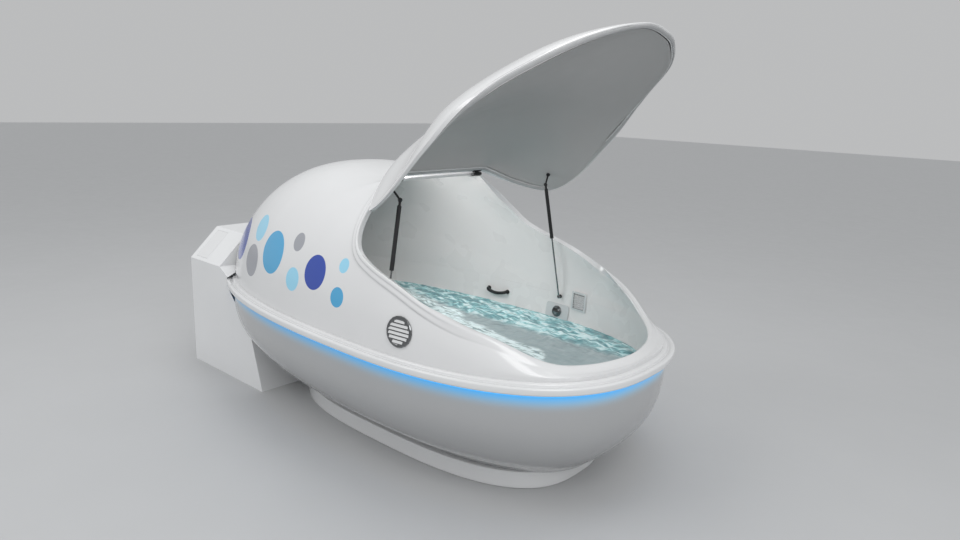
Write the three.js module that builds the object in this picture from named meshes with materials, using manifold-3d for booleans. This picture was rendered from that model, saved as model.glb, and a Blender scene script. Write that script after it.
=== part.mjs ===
// Flotation tank: an oval moulded pod with a gas-sprung lid, and the cabinet
// behind it that holds the pump and filter. Millimetres, +Z up. x = 0 is the
// middle of the pod's length, +x points to the foot end, and z = 0 is the floor.
// The lid is built closed and then turned up about its hinge, as it rests.

import * as THREE from 'three';
import { mergeVertices } from 'three/addons/utils/BufferGeometryUtils.js';
import Module from 'manifold-3d';

const wasm = await Module();
wasm.setup();

const degree = Math.PI / 180;
const seatGap = 0.3;
const wallGap = 0.5;
const cutOverrun = 5;

// Plan of the pod: two half ovals that meet where it is widest
const podLength = 2600;
const podWidth = 1412;
const widestX = 246;
const rearPower = 2.4;
const frontPower = 2.47;
const podRear = podLength / 2 + widestX;
const podFront = podLength / 2 - widestX;
const podHalf = podWidth / 2;
const podHeadX = -podLength / 2;
const podFootX = podLength / 2;

// Plinth under the pod
const plinthX = 182;
const plinthSetback = 475;
const plinthSideSetback = 278;
const plinthLength = podLength - 2 * plinthSetback;
const plinthWidth = podWidth - 2 * plinthSideSetback;
const plinthPower = 2.84;
const plinthHeight = 76.7;
const plinthWall = 8;
const plinthLedge = 40;
const plinthEdge = 6;
const beamWidth = 90;

// Hull, from the plinth up to the rim
const hullBottomZ = plinthHeight + seatGap;
const hullHeight = 447;
const hullTopZ = hullBottomZ + hullHeight;
const hullInset = 33;
const hullWall = 10;
const hullTuckRear = 613;
const hullTuckFront = 214;
const hullTuckSide = 272;
const hullBend = 3.24;
const hullFlat = 0.86;

// Rim band round the pod, with a groove and a step inside it
const rimSeatZ = hullTopZ + seatGap;
const rimBandRise = 7;
const rimBandHeight = 31;
const rimStep = 6;
const rimWidth = 57;
const rimBandZ = rimSeatZ + rimBandRise;
const rimTopZ = rimBandZ + rimBandHeight + rimStep;
const bandWidth = 22;
const bandEdge = 8;
const bandGroove = 5;
const ledWidth = 16;
const ledHeight = 6;

// Basin that holds the water
const basinWall = 6;
const basinFloorZ = 170;
const basinTuckRear = 457;
const basinTuckFront = 277;
const basinTuckSide = 242;
const basinBend = 3;
const basinFlat = 0.9;
const basinInset = rimWidth + seatGap + basinWall;

// Canopy over the head end
const canopyInset = 48;
const canopyWall = 12;
const canopyBaseZ = rimTopZ + seatGap;
const canopyStep = 15;
const crownHeight = 665;
const crownX = -263;
const crownRearSetback = 113;
const crownFootSetback = 63;
const crownToRear = crownX - podHeadX - crownRearSetback;
const crownToFoot = podFootX - crownFootSetback - crownX;
const crownRearPower = 2.07;
const crownFootPower = 6;
const crownFootDrop = 3.4;
const sectionPower = 2.34;
const sectionRound = 1.888;
const edgeBlend = 4;
const fanAngle = 15 * degree;

// Opening of the canopy and the lip round it
const openingSetback = 102;
const openingSideSetback = 111;
const openingTipX = podFootX - openingSetback;
const openingTipZ = 587;
const openingHalf = podHalf - openingSideSetback;
const hingeX = 108;
const hingeZ = 1200;
const hingeCornerSetback = 293;
const hingeHalf = openingHalf - hingeCornerSetback;
const lipWidth = 44;
const lipCrest = 14;
// Places along one side of the opening, from the foot tip to the hinge corner:
// along from hinge to tip, out to the widest, and up from tip to hinge
const openingShares = [
  [1.0, 0.0, 0.0],
  [0.989, 0.176, 0.0],
  [0.96, 0.361, 0.002],
  [0.906, 0.555, 0.014],
  [0.844, 0.676, 0.052],
  [0.745, 0.8, 0.14],
  [0.627, 0.916, 0.224],
  [0.491, 0.982, 0.318],
  [0.355, 1.0, 0.41],
  [0.21, 0.992, 0.49],
  [0.112, 0.955, 0.563],
  [0.058, 0.874, 0.671],
  [0.02, 0.714, 0.819],
];

// Lid, hinge and gas struts
const openAngle = 60 * degree;
const lidSlope = 26 * degree;
const axisForward = 12;
const axisDrop = 4;
const lidSkin = 5;
const lidLinerWall = 4;
const lidRimWidth = 40;
const lidOverhang = 26;
const lidEdgeHeight = 14;
const lidSealSpace = 11;
const lidCrown = 108;
const lidLinerCrown = 50;
const lidRisePower = 0.9;
const lidSidePower = 2.4;
const lidEndPower = 3;
const lidBulge = 0.48;
const linerDepth = 12;
const lidEarBulge = 1.2;
const lidBendShare = 0.5;
const lidTipSpread = 0.15;
const lidCentreShare = 0.52;
const sealWidth = 14;
const sealHeight = 5;
const strutTopX = 383;
const strutTopZ = 1155;
const strutTopSetback = 100;
const strutTopY = openingHalf - strutTopSetback;
const strutFootX = 422;
const strutFootZ = 554;
const strutFootSetback = 84;
const strutFootY = podHalf - strutFootSetback;
const strutTube = 285;
const tubeRadius = 9;
const rodRadius = 4;
const rodClearance = 0.5;
const rodTuck = 22;
const ballRadius = 10;
const studRadius = 4.5;
const padRadius = 10;
const padThickness = 4;
const barrelRadius = 8;
const pinRadius = 3.5;
const hingeWidth = 56;
const hingeInboard = 34;
const leafReach = 34;
const leafThickness = 3;
const lidLeafReach = 18;

// Fittings on the walls: place along the pod and height
const ventSetback = 759;
const ventX = podFootX - ventSetback;
const ventZ = 672;
const ventRadius = 63;
const ventBezel = 10;
const ventProud = 7;
const ventThroat = 54;
const louvreSlats = 6;
const slatThickness = 3;
const slatTilt = 38 * degree;
const buttonSetback = 889;
const buttonX = podFootX - buttonSetback;
const buttonZ = 470;
const buttonRadius = 21;
const buttonTravel = 4;
const buttonHeight = 9;
const buttonBezel = 9;
const panelWidth = 150;
const panelHeight = 84;
const panelThickness = 6;
const fittingSink = 1.5;
const grilleSetback = 752;
const grilleX = podFootX - grilleSetback;
const grilleZ = 552;
const grilleWidth = 92;
const grilleHeight = 100;
const grilleFrame = 10;
const grilleDepth = 7;
const grilleSlats = 7;
const handleReach = 1296;
const handleX = podHeadX + handleReach;
const handleZ = 503;
const handleSpan = 132;
const handleStand = 30;
const handleBow = 12;
const handleRadius = 9;
const drainRadius = 45;
const drainHeight = 5;

// Equipment cabinet
const cabinetOverhang = 73;
const cabinetRearX = podHeadX - cabinetOverhang;
const cabinetLength = 697;
const cabinetWidth = 980;
const cabinetSideZ = 616;
const cabinetTopZ = 778;
const cabinetChamfer = 169;
const cabinetTopWidth = cabinetWidth - 2 * cabinetChamfer;
const cabinetWall = 6;
const cabinetGap = 3;
const cabinetFrontX = cabinetRearX + cabinetLength;
// Front edge of the side panel: how far forward of the rear, and heights
const kneeReach = 602;
const cabinetKneeZ = 296;
const shoulderReach = 437;
const cabinetShoulderZ = 548;
const neckReach = 313;
const cabinetKneeX = cabinetRearX + kneeReach;
const cabinetShoulderX = cabinetRearX + shoulderReach;
const cabinetNeckX = cabinetRearX + neckReach;
const hatchLength = 112;
const hatchMargin = 22;
const hatchGap = 0.8;
const hatchOffset = 40;
const pumpRadius = 58;
const pumpLength = 170;
const voluteRadius = 74;
const voluteDepth = 56;
const pumpReach = 183;
const pumpMargin = 160;
const pumpX = cabinetRearX + pumpReach;
const pumpY = pumpMargin - cabinetWidth / 2;
const suctionY = pumpY;
const filterRadius = 60;
const filterHeight = 270;
const filterReach = 88;
const filterX = cabinetRearX + filterReach;
const returnY = 110;
const capHeight = 26;
const heaterRadius = 36;
const heaterLength = 240;
const heaterReach = 313;
const heaterMargin = 200;
const heaterX = cabinetRearX + heaterReach;
const heaterY = cabinetWidth / 2 - heaterMargin;
const controlDepth = 40;
const controlWidth = 260;
const controlHeight = 120;
const controlZ = 640;
const pipeRadius = 20;
const pipeBore = 16;
const pipeZ = 250;
const trayHeight = 8;

// Fineness
const sideSteps = 17;
const hingeSteps = 14;
const roundSteps = 20;
const fineSteps = 48;
const cornerSegments = 3;
const tubeSegments = 5;

const materials = {
  gelcoat: new THREE.MeshStandardMaterial({ color: 0xe9eaeb, roughness: 0.22, metalness: 0 }),
  liner: new THREE.MeshStandardMaterial({ color: 0xc4c8ca, roughness: 0.35, metalness: 0 }),
  hull: new THREE.MeshStandardMaterial({ color: 0xc9cbcd, roughness: 0.3, metalness: 0 }),
  glow: new THREE.MeshStandardMaterial({ color: 0x4fb3f0, roughness: 0.4, metalness: 0 }),
  chrome: new THREE.MeshStandardMaterial({ color: 0x8d9193, roughness: 0.2, metalness: 1 }),
  black: new THREE.MeshStandardMaterial({ color: 0x151617, roughness: 0.45, metalness: 0 }),
  steel: new THREE.MeshStandardMaterial({ color: 0x9fa3a6, roughness: 0.3, metalness: 1 }),
  rubber: new THREE.MeshStandardMaterial({ color: 0x3a3d3f, roughness: 0.8, metalness: 0 }),
  panel: new THREE.MeshStandardMaterial({ color: 0xdddfe0, roughness: 0.35, metalness: 0 }),
  plastic: new THREE.MeshStandardMaterial({ color: 0xb9bdbf, roughness: 0.5, metalness: 0 }),
};

const tank = new THREE.Group();

function addPiece(name, geometry, material, parent = tank) {
  const mesh = new THREE.Mesh(geometry, material);
  mesh.name = name;
  parent.add(mesh);
  return mesh;
}

const place = (x, y, z) => new THREE.Vector3(x, y, z);

// Solids

function signedVolume(positions, indices) {
  let sum = 0;
  const [a, b, c] = [new THREE.Vector3(), new THREE.Vector3(), new THREE.Vector3()];
  for (let k = 0; k < indices.length; k += 3) {
    a.fromArray(positions, indices[k] * 3);
    b.fromArray(positions, indices[k + 1] * 3);
    c.fromArray(positions, indices[k + 2] * 3);
    sum += a.dot(b.cross(c));
  }
  return sum;
}

// Skin over rings of equal count: a loop of rings closes on itself like a tyre,
// and otherwise the first and last ring are filled to their middles
function loft(rings, loop = false) {
  const count = rings[0].length;
  const positions = rings.flat().flatMap((point) => point.toArray());
  const indices = [];
  const bands = loop ? rings.length : rings.length - 1;
  for (let k = 0; k < bands; k += 1) {
    const next = (k + 1) % rings.length;
    for (let i = 0; i < count; i += 1) {
      const j = (i + 1) % count;
      const [a, b, c, d] = [k * count + i, k * count + j, next * count + i, next * count + j];
      indices.push(a, b, d, a, d, c);
    }
  }
  if (!loop) {
    [0, rings.length - 1].forEach((k) => {
      const middle = new THREE.Vector3();
      rings[k].forEach((point) => middle.addScaledVector(point, 1 / count));
      const hub = positions.length / 3;
      positions.push(...middle.toArray());
      for (let i = 0; i < count; i += 1) {
        const [a, b] = [k * count + i, k * count + ((i + 1) % count)];
        indices.push(...(k === 0 ? [b, a, hub] : [a, b, hub]));
      }
    });
  }
  if (signedVolume(positions, indices) < 0) indices.reverse();
  const geometry = new THREE.BufferGeometry();
  geometry.setAttribute('position', new THREE.Float32BufferAttribute(positions, 3));
  geometry.setIndex(indices);
  geometry.computeVertexNormals();
  return geometry;
}

function toSolid(geometry) {
  const plain = geometry.clone();
  plain.deleteAttribute('normal');
  plain.deleteAttribute('uv');
  const merged = mergeVertices(plain);
  return new wasm.Manifold(new wasm.Mesh({
    numProp: 3,
    vertProperties: new Float32Array(merged.attributes.position.array),
    triVerts: new Uint32Array(merged.index.array),
  }));
}

function toGeometry(solid) {
  const mesh = solid.getMesh();
  const geometry = new THREE.BufferGeometry();
  geometry.setAttribute('position', new THREE.BufferAttribute(mesh.vertProperties, 3));
  geometry.setIndex(new THREE.BufferAttribute(mesh.triVerts, 1));
  geometry.computeVertexNormals();
  return geometry;
}

function cut(geometry, ...tools) {
  return toGeometry(tools.reduce((solid, tool) => solid.subtract(toSolid(tool)), toSolid(geometry)));
}

function join(...pieces) {
  return toGeometry(pieces.map(toSolid).reduce((whole, piece) => whole.add(piece)));
}

function turned(profile, steps = roundSteps) {
  return new THREE.LatheGeometry(profile.map(([r, h]) => new THREE.Vector2(r, h)), steps);
}

// A turned piece whose own height runs from one point towards another
function turnedAlong(profile, from, towards, steps = roundSteps) {
  const up = new THREE.Vector3(0, 1, 0);
  const way = towards.clone().sub(from).normalize();
  return turned(profile, steps)
    .applyQuaternion(new THREE.Quaternion().setFromUnitVectors(up, way))
    .translate(from.x, from.y, from.z);
}

function rod(radius, from, to, steps = roundSteps) {
  const length = from.distanceTo(to);
  return turnedAlong([[0, 0], [radius, 0], [radius, length], [0, length]], from, to, steps);
}

function pipe(radius, bore, from, to, steps = roundSteps) {
  const length = from.distanceTo(to);
  const profile = [[bore, 0], [radius, 0], [radius, length], [bore, length], [bore, 0]];
  return turnedAlong(profile, from, to, steps);
}

function block(x0, x1, y0, y1, z0, z1) {
  return new THREE.BoxGeometry(x1 - x0, y1 - y0, z1 - z0)
    .translate((x0 + x1) / 2, (y0 + y1) / 2, (z0 + z1) / 2);
}

// Plans: rings of points round an oval, all at the same angles

function ovalPoint(angle, rear, front, half, centre, powerRear, powerFront) {
  const [c, s] = [Math.cos(angle), Math.sin(angle)];
  const [length, power] = c < 0 ? [rear, powerRear] : [front, powerFront];
  const reach = (Math.abs(c) ** power + Math.abs(s) ** power) ** (-1 / power);
  return new THREE.Vector3(centre + length * c * reach, half * s * reach, 0);
}

function podPoint(angle, inset, z) {
  const point = ovalPoint(
    angle,
    podRear - inset,
    podFront - inset,
    podHalf - inset,
    widestX,
    rearPower,
    frontPower,
  );
  return point.setZ(z);
}

function openingCurve() {
  const side = openingShares.map(([along, out, up]) => new THREE.Vector3(
    hingeX + along * (openingTipX - hingeX),
    out * openingHalf,
    openingTipZ + up * (hingeZ - openingTipZ),
  ));
  side.push(new THREE.Vector3(hingeX, hingeHalf, hingeZ));
  const mirror = side.slice(1).reverse().map((point) => new THREE.Vector3(point.x, -point.y, point.z));
  return new THREE.CatmullRomCurve3([...mirror, ...side], false, 'catmullrom', 0.5);
}

// Edge of the opening: the foot tip first, then round by the +y side
const sideEdge = Array.from({ length: sideSteps + 1 }, (_, i) => (
  openingCurve().getPointAt(0.5 + i / (2 * sideSteps))
));
sideEdge[0].setY(0);
const hingeEdge = Array.from({ length: hingeSteps - 1 }, (_, j) => (
  new THREE.Vector3(hingeX, hingeHalf * (1 - (2 * (j + 1)) / hingeSteps), hingeZ)
));
const mirrored = (point) => new THREE.Vector3(point.x, -point.y, point.z);
const openingEdge = [
  ...sideEdge,
  ...hingeEdge,
  ...sideEdge.slice(1).reverse().map(mirrored),
];

// Angle on the rim that each point of the opening belongs to
function edgeAngle(point) {
  const length = point.x < widestX ? podRear : openingTipX - widestX;
  const height = (point.z - openingTipZ) / (hingeZ - openingTipZ);
  return Math.atan2(Math.abs(point.y) / openingHalf, (point.x - widestX) / length) + fanAngle * height ** 2;
}

const sideAngles = sideEdge.map(edgeAngle);
const hingeAngles = hingeEdge.map((_, j) => (
  sideAngles[sideSteps] + ((Math.PI - sideAngles[sideSteps]) * 2 * (j + 1)) / hingeSteps
));
const aroundAngles = [
  ...sideAngles,
  ...hingeAngles,
  ...sideAngles.slice(1).reverse().map((angle) => -angle),
];

const podRing = (inset, z) => aroundAngles.map((angle) => podPoint(angle, inset, z));

// Rows of points moved along their surface's outward normal. Rows run upwards,
// and points run anticlockwise seen from above.
function rowNormal(rows, k, i) {
  const count = rows[0].length;
  const above = rows[Math.min(k + 1, rows.length - 1)][i];
  const below = rows[Math.max(k - 1, 0)][i];
  const along = above.clone().sub(below);
  const around = rows[k][(i + 1) % count].clone().sub(rows[k][(i + count - 1) % count]);
  return around.cross(along).normalize();
}

function offsetRows(rows, distance) {
  return rows.map((row, k) => row.map((point, i) => (
    point.clone().addScaledVector(rowNormal(rows, k, i), distance)
  )));
}

// Bowls: hull and basin

function bowlRow(share, from, tuck, bend, flat) {
  const pull = 1 - (1 - share ** bend) ** (1 / flat);
  return aroundAngles.map((angle) => ovalPoint(
    angle,
    podRear - from - pull * tuck.rear,
    podFront - from - pull * tuck.front,
    podHalf - from - pull * tuck.side,
    widestX,
    rearPower,
    frontPower,
  ));
}

const bowlShares = [1, 0.985, 0.95, 0.89, 0.8, 0.68, 0.53, 0.36, 0.18, 0];

function bowlRows(shares, bottom, top, from, tuck, bend, flat) {
  return shares.map((share) => (
    bowlRow(share, from, tuck, bend, flat).map((point) => point.setZ(top + share * (bottom - top)))
  ));
}

const hullTuck = { rear: hullTuckRear, front: hullTuckFront, side: hullTuckSide };
const basinTuck = { rear: basinTuckRear, front: basinTuckFront, side: basinTuckSide };
const hullRows = bowlRows(bowlShares, hullBottomZ, hullTopZ, hullInset, hullTuck, hullBend, hullFlat);
const basinTopZ = rimTopZ;
const basinRows = bowlRows(
  bowlShares,
  basinFloorZ,
  basinTopZ,
  basinInset,
  basinTuck,
  basinBend,
  basinFlat,
);

function bowlSolid(outer, inner, topZ) {
  const level = (rows) => rows.map((row, k) => (
    k === rows.length - 1 ? row.map((point) => point.setZ(topZ)) : row
  ));
  return loft([...level(outer), ...level(inner).reverse()]);
}

const hullInner = offsetRows(hullRows, -hullWall);
const basinOuter = offsetRows(basinRows, basinWall);

// Canopy

function baseHalf(x) {
  const [length, power] = x < widestX
    ? [podRear - canopyInset, rearPower]
    : [podFront - canopyInset, frontPower];
  const reach = Math.min(Math.abs(x - widestX) / length, 1);
  return (podHalf - canopyInset) * (1 - reach ** power) ** (1 / power);
}

function crownAt(x) {
  if (x < crownX) {
    const back = Math.min((crownX - x) / crownToRear, 1);
    return crownHeight * (1 - back ** crownRearPower) ** (1 / crownRearPower);
  }
  const ahead = Math.min((x - crownX) / crownToFoot, 1);
  return crownHeight * (1 - ahead ** crownFootPower) ** crownFootDrop;
}

const canopyShoulderZ = canopyBaseZ + canopyStep;

function domeZ(x, y) {
  const out = Math.min(Math.abs(y) / Math.max(baseHalf(x), seatGap), 1);
  return canopyShoulderZ + crownAt(x) * (1 - out ** sectionPower) ** (1 / sectionRound);
}

// One column of the canopy's outer face, from the rim up to the opening
function canopyColumn(edge, angle) {
  const base = podPoint(angle, canopyInset, canopyShoulderZ);
  const lift = edge.z - domeZ(edge.x, edge.y);
  return Array.from({ length: fineSteps + 1 }, (_, k) => {
    const share = (k / fineSteps) ** 2;
    const point = base.clone().lerp(edge, share);
    if (k > 0) point.setZ(domeZ(point.x, point.y) + lift * share ** edgeBlend);
    return point;
  });
}

function pointAlong(column, distance) {
  let rest = distance;
  for (let k = 1; k < column.length; k += 1) {
    const step = column[k].distanceTo(column[k - 1]);
    if (rest <= step) return column[k - 1].clone().lerp(column[k], rest / step);
    rest -= step;
  }
  return column[column.length - 1].clone();
}

const columnLength = (column) => column.reduce((sum, point, k) => (
  k === 0 ? 0 : sum + point.distanceTo(column[k - 1])
), 0);

const mainShares = [0, 0.06, 0.14, 0.24, 0.35, 0.47, 0.6, 0.73, 0.86, 1];
// Rows of the lip: distance from the edge and height, as shares of its width and crest
const lipShares = [[0.84, 0.57], [0.4, 0.57], [0.28, 1], [0, 1]];

const columns = openingEdge.map((edge, i) => canopyColumn(edge, aroundAngles[i]));
const columnLengths = columns.map(columnLength);
const canopyMain = mainShares.map((share) => columns.map((column, i) => (
  pointAlong(column, share * (columnLengths[i] - lipWidth))
)));
const canopyLip = lipShares.map(([share]) => columns.map((column, i) => (
  pointAlong(column, columnLengths[i] - share * lipWidth)
)));
const canopySkin = [...canopyMain, ...canopyLip];
const edgeRow = canopySkin.length - 1;

// The lip fades out towards the hinge line, where the lid turns over it
function lipFade(i) {
  const point = openingEdge[i];
  const height = (point.z - openingTipZ) / (hingeZ - openingTipZ);
  return 1 - THREE.MathUtils.smoothstep(height, 0.78, 0.98);
}

function canopyGeometry() {
  const raised = canopyLip.map((row, r) => row.map((point, i) => (
    point.clone().addScaledVector(
      rowNormal(canopySkin, canopyMain.length + r, i),
      lipCrest * lipShares[r][1] * lipFade(i),
    )
  )));
  const inside = offsetRows(canopySkin, -canopyWall);
  const insideRows = [edgeRow, canopyMain.length - 1, 7, 5, 3].map((k) => inside[k]);
  return loft([
    podRing(canopyInset, canopyBaseZ),
    ...canopyMain,
    ...raised,
    ...insideRows,
    podRing(basinInset, canopyBaseZ),
  ], true);
}

// Rim, light strip, plinth

function ringOf(section) {
  return loft(section.map(([inset, z]) => podRing(inset, z)), true);
}

function rimGeometry() {
  const bandTopZ = rimBandZ + rimBandHeight;
  return ringOf([
    [rimWidth, rimSeatZ],
    [hullInset, rimSeatZ],
    [hullInset - ledHeight / 2, rimBandZ],
    [bandEdge / 2, rimBandZ],
    [0, rimBandZ + bandEdge],
    [0, bandTopZ - bandEdge],
    [bandEdge, bandTopZ],
    [bandWidth, bandTopZ - bandGroove / 2],
    [bandWidth + bandGroove, bandTopZ - bandGroove],
    [bandWidth + 2 * bandGroove, rimTopZ],
    [rimWidth, rimTopZ],
  ]);
}

function ledGeometry() {
  const inner = hullInset - ledHeight;
  const top = rimBandZ - seatGap;
  return ringOf([
    [inner, top],
    [inner - ledWidth, top],
    [inner - ledWidth, top - ledHeight / 2],
    [inner - ledHeight / 2, top - ledHeight],
    [inner, top - ledHeight],
  ]);
}

function plinthRing(inset, z) {
  return aroundAngles.map((angle) => ovalPoint(
    angle,
    plinthLength / 2 - inset,
    plinthLength / 2 - inset,
    plinthWidth / 2 - inset,
    plinthX,
    plinthPower,
    plinthPower,
  ).setZ(z));
}

function plinthGeometry() {
  return loft([
    plinthRing(plinthEdge, 0),
    plinthRing(0, plinthEdge),
    plinthRing(0, plinthHeight),
    plinthRing(plinthLedge, plinthHeight),
    plinthRing(plinthLedge, plinthHeight - plinthWall),
    plinthRing(plinthWall, plinthHeight - 2 * plinthWall),
    plinthRing(plinthWall, plinthWall),
  ]);
}

// Cross beams in the plinth that carry the hull's bottom
const beamShares = [-0.55, 0, 0.55];

function beamGeometry(share) {
  const x = plinthX + (share * plinthLength) / 2;
  const half = plinthWidth / 2 - 3 * plinthLedge;
  const [bottom, top] = [plinthWall + seatGap, hullBottomZ - seatGap];
  return block(x - beamWidth / 2, x + beamWidth / 2, -half, half, bottom, top);
}

// Lid, in its closed place

const axisX = hingeX + axisForward;
const axisZ = hingeZ - axisDrop;

const upright = place(0, 0, 1);
const rearward = place(-1, 0, 0);
const acrossY = place(0, 1, 0);

// Rim face of the lid: parallel to the lip, and along the hinge line, where it
// starts at the hinge axis, sloped as the lid is
const lidRimFace = openingEdge.map((edge, i) => {
  const fade = lipFade(i);
  const spread = lidTipSpread + (1 - lidTipSpread) * Math.min(Math.abs(edge.y) / openingHalf, 1);
  const out = canopySkin[edgeRow - 1][i].clone().sub(edge).normalize();
  const normal = upright.clone()
    .applyAxisAngle(acrossY, lidSlope)
    .lerp(rowNormal(canopySkin, edgeRow, i), fade)
    .normalize();
  const back = rearward.clone().applyAxisAngle(acrossY, lidSlope).lerp(out, fade).normalize();
  const outer = edge.clone()
    .addScaledVector(rearward, -axisForward * (1 - fade))
    .addScaledVector(normal, lipCrest * fade + lidSealSpace)
    .addScaledVector(back, lidOverhang * fade * spread);
  return { normal, back, outer, fade, spread };
});

const rimRow = (inward, lift, extra = 0) => lidRimFace.map(({ normal, back, outer, fade }) => (
  outer.clone()
    .addScaledVector(back, -inward - extra * (1 - fade))
    .addScaledVector(normal, lift)
));

const lidShares = [0.82, 0.64, 0.47, 0.32, 0.2, 0.1, 0.04, 0.012, 0];

// Rows over a lid outline, from its middle out to its edge. The face is fuller
// towards the hinge and the tip than over the sides.
function lidRows(outline, crown) {
  const [start, tip] = [outline[sideSteps], outline[0]];
  const length = tip.x - start.x;
  const middle = place(start.x + lidCentreShare * length, 0, 0);
  return lidShares.map((share) => outline.map((edge) => {
    const point = edge.clone().lerp(middle, share);
    const along = THREE.MathUtils.clamp((point.x - start.x) / length, 0, 1);
    const ridge = start.z + along * (tip.z - start.z) + crown * along ** lidRisePower;
    const lengthwise = Math.abs(edge.x - middle.x) / Math.hypot(edge.x - middle.x, edge.y);
    const power = lidSidePower + (lidEndPower - lidSidePower) * lengthwise ** 4;
    const inward = THREE.MathUtils.smoothstep(along, 0, lidBendShare);
    const bulge = lidEarBulge + (lidBulge - lidEarBulge) * inward;
    const weight = (1 - (1 - share) ** power) ** bulge;
    return point.setZ(edge.z + (ridge - edge.z) * weight);
  }));
}

// The seal runs nearer the edge on the sides than along the hinge line
const sealInward = (lidOverhang - sealWidth) / 2;
const sealShift = lidRimWidth - sealWidth - 2 * sealInward;
const sealRow = (inward, lift) => rimRow(sealInward + inward, lift, sealShift);

const lidOutline = rimRow(0, 0).map((point, i) => (
  point.addScaledVector(lidRimFace[i].normal, lidEdgeHeight * lidRimFace[i].spread)
));
const lidOuterRows = lidRows(lidOutline, lidCrown);

function lidShellGeometry() {
  const upward = [...lidOuterRows].reverse();
  const inner = offsetRows(upward, -lidSkin);
  return loft([
    ...lidOuterRows,
    rimRow(0, 0),
    sealRow(0, 0),
    sealRow(sealWidth, 0),
    rimRow(lidRimWidth, 0),
    rimRow(lidRimWidth, lidSkin),
    rimRow(lidSkin, lidSkin),
    ...[1, 2, 3, 4, 6, 8].map((k) => inner[k]),
  ]);
}

const lidShellPlain = lidShellGeometry();

// The liner stays its depth below the shell's inner skin
const linerOutline = rimRow(lidRimWidth + 3 * lidLinerWall, 0);
const linerRows = lidRows(linerOutline, lidLinerCrown).map((row) => row.map((point) => {
  const roof = surfaceHit(lidShellPlain, point.clone().setZ(0), upright).point.z;
  return point.setZ(Math.min(point.z, roof - linerDepth));
}));

function lidLinerGeometry() {
  const upward = [...linerRows].reverse();
  const above = offsetRows(upward, lidLinerWall);
  return loft([
    ...linerRows,
    ...[0, 1, 2, 3, 4, 6, 8].map((k) => above[k]),
  ]);
}

function sealGeometry() {
  const [top, bottom] = [-2 * seatGap, -sealHeight];
  return loft([
    sealRow(0, top),
    sealRow(sealWidth, top),
    sealRow(sealWidth, bottom),
    sealRow(0, bottom),
  ], true);
}

// Build the pod

const canopyPlain = canopyGeometry();

// Where a line across the tank meets a surface
function surfaceHit(geometry, from, way) {
  const mesh = new THREE.Mesh(geometry, new THREE.MeshBasicMaterial({ side: THREE.DoubleSide }));
  mesh.updateMatrixWorld();
  const [hit] = new THREE.Raycaster(from, way.clone().normalize()).intersectObject(mesh);
  const normal = hit.face.normal.clone();
  if (normal.dot(way) > 0) normal.negate();
  return { point: hit.point, normal };
}

// Geometry built about its own seat point, with +z away from the wall, then
// turned on to the wall. Its x runs level along the wall.
function onWall(geometry, seat) {
  const level = place(0, 0, 1).cross(seat.normal).normalize();
  const rising = seat.normal.clone().cross(level);
  const turn = new THREE.Matrix4().makeBasis(level, rising, seat.normal);
  return geometry.applyMatrix4(turn.setPosition(seat.point));
}

// Cuts the back of a piece to the wall behind it and leaves a small gap
function seatCut(geometry, normal, ...walls) {
  const lift = normal.clone().multiplyScalar(wallGap).toArray();
  const sunk = geometry.clone().translate(...lift.map((v) => -v));
  return cut(sunk, ...walls).translate(...lift);
}

function roundedShape(width, height, corner) {
  const [w, h] = [width / 2, height / 2];
  const shape = new THREE.Shape();
  shape.moveTo(-w + corner, -h);
  shape.lineTo(w - corner, -h);
  shape.quadraticCurveTo(w, -h, w, -h + corner);
  shape.lineTo(w, h - corner);
  shape.quadraticCurveTo(w, h, w - corner, h);
  shape.lineTo(-w + corner, h);
  shape.quadraticCurveTo(-w, h, -w, h - corner);
  shape.lineTo(-w, -h + corner);
  shape.quadraticCurveTo(-w, -h, -w + corner, -h);
  return shape;
}

function roundHole(radius) {
  return new THREE.Path(Array.from({ length: roundSteps }, (_, k) => {
    const angle = (2 * Math.PI * k) / roundSteps;
    return new THREE.Vector2(radius * Math.cos(angle), radius * Math.sin(angle));
  }));
}

function plate(shape, from, depth) {
  return new THREE.ExtrudeGeometry(shape, { depth, bevelEnabled: false, curveSegments: cornerSegments })
    .translate(0, 0, from);
}

// Turned piece that stands on a wall, its profile's height away from the wall
const standing = (profile, steps = roundSteps) => turned(profile, steps).rotateX(Math.PI / 2);

// Base of the pod

addPiece('plinth', plinthGeometry(), materials.gelcoat);
beamShares.forEach((share, k) => {
  addPiece(`hull_beam_${k + 1}`, beamGeometry(share), materials.plastic);
});

// Hull and basin, bored for the return and suction pipes
function pipeHole(y) {
  return rod(pipeRadius + seatGap, place(podHeadX, y, pipeZ), place(0, y, pipeZ));
}

const pipeHoles = [pipeHole(returnY), pipeHole(suctionY)];
const basinPlain = bowlSolid(basinOuter, basinRows, basinTopZ);
addPiece('hull_shell', cut(bowlSolid(hullRows, hullInner, hullTopZ), ...pipeHoles), materials.hull);
addPiece('rim_band', rimGeometry(), materials.gelcoat);
addPiece('light_strip', ledGeometry(), materials.glow);
addPiece('basin', cut(basinPlain, ...pipeHoles), materials.liner);
addPiece('drain_cover', standing([
  [0, seatGap],
  [drainRadius, seatGap],
  [drainRadius, drainHeight / 2],
  [drainRadius - drainHeight, drainHeight],
  [0, drainHeight],
]).translate(plinthX, 0, basinFloorZ), materials.chrome);

// Canopy with the round vent through its right side
const ventSeat = surfaceHit(canopyPlain, place(ventX, -podWidth, ventZ), acrossY);
const ventHoleReach = canopyWall + 3 * cutOverrun;

function ventHole() {
  const profile = [
    [0, -ventHoleReach],
    [ventThroat + seatGap, -ventHoleReach],
    [ventThroat + seatGap, cutOverrun],
    [0, cutOverrun],
  ];
  return onWall(standing(profile), ventSeat);
}

const canopyBored = cut(canopyPlain, ventHole());
addPiece('canopy_shell', canopyBored, materials.gelcoat);

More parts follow.
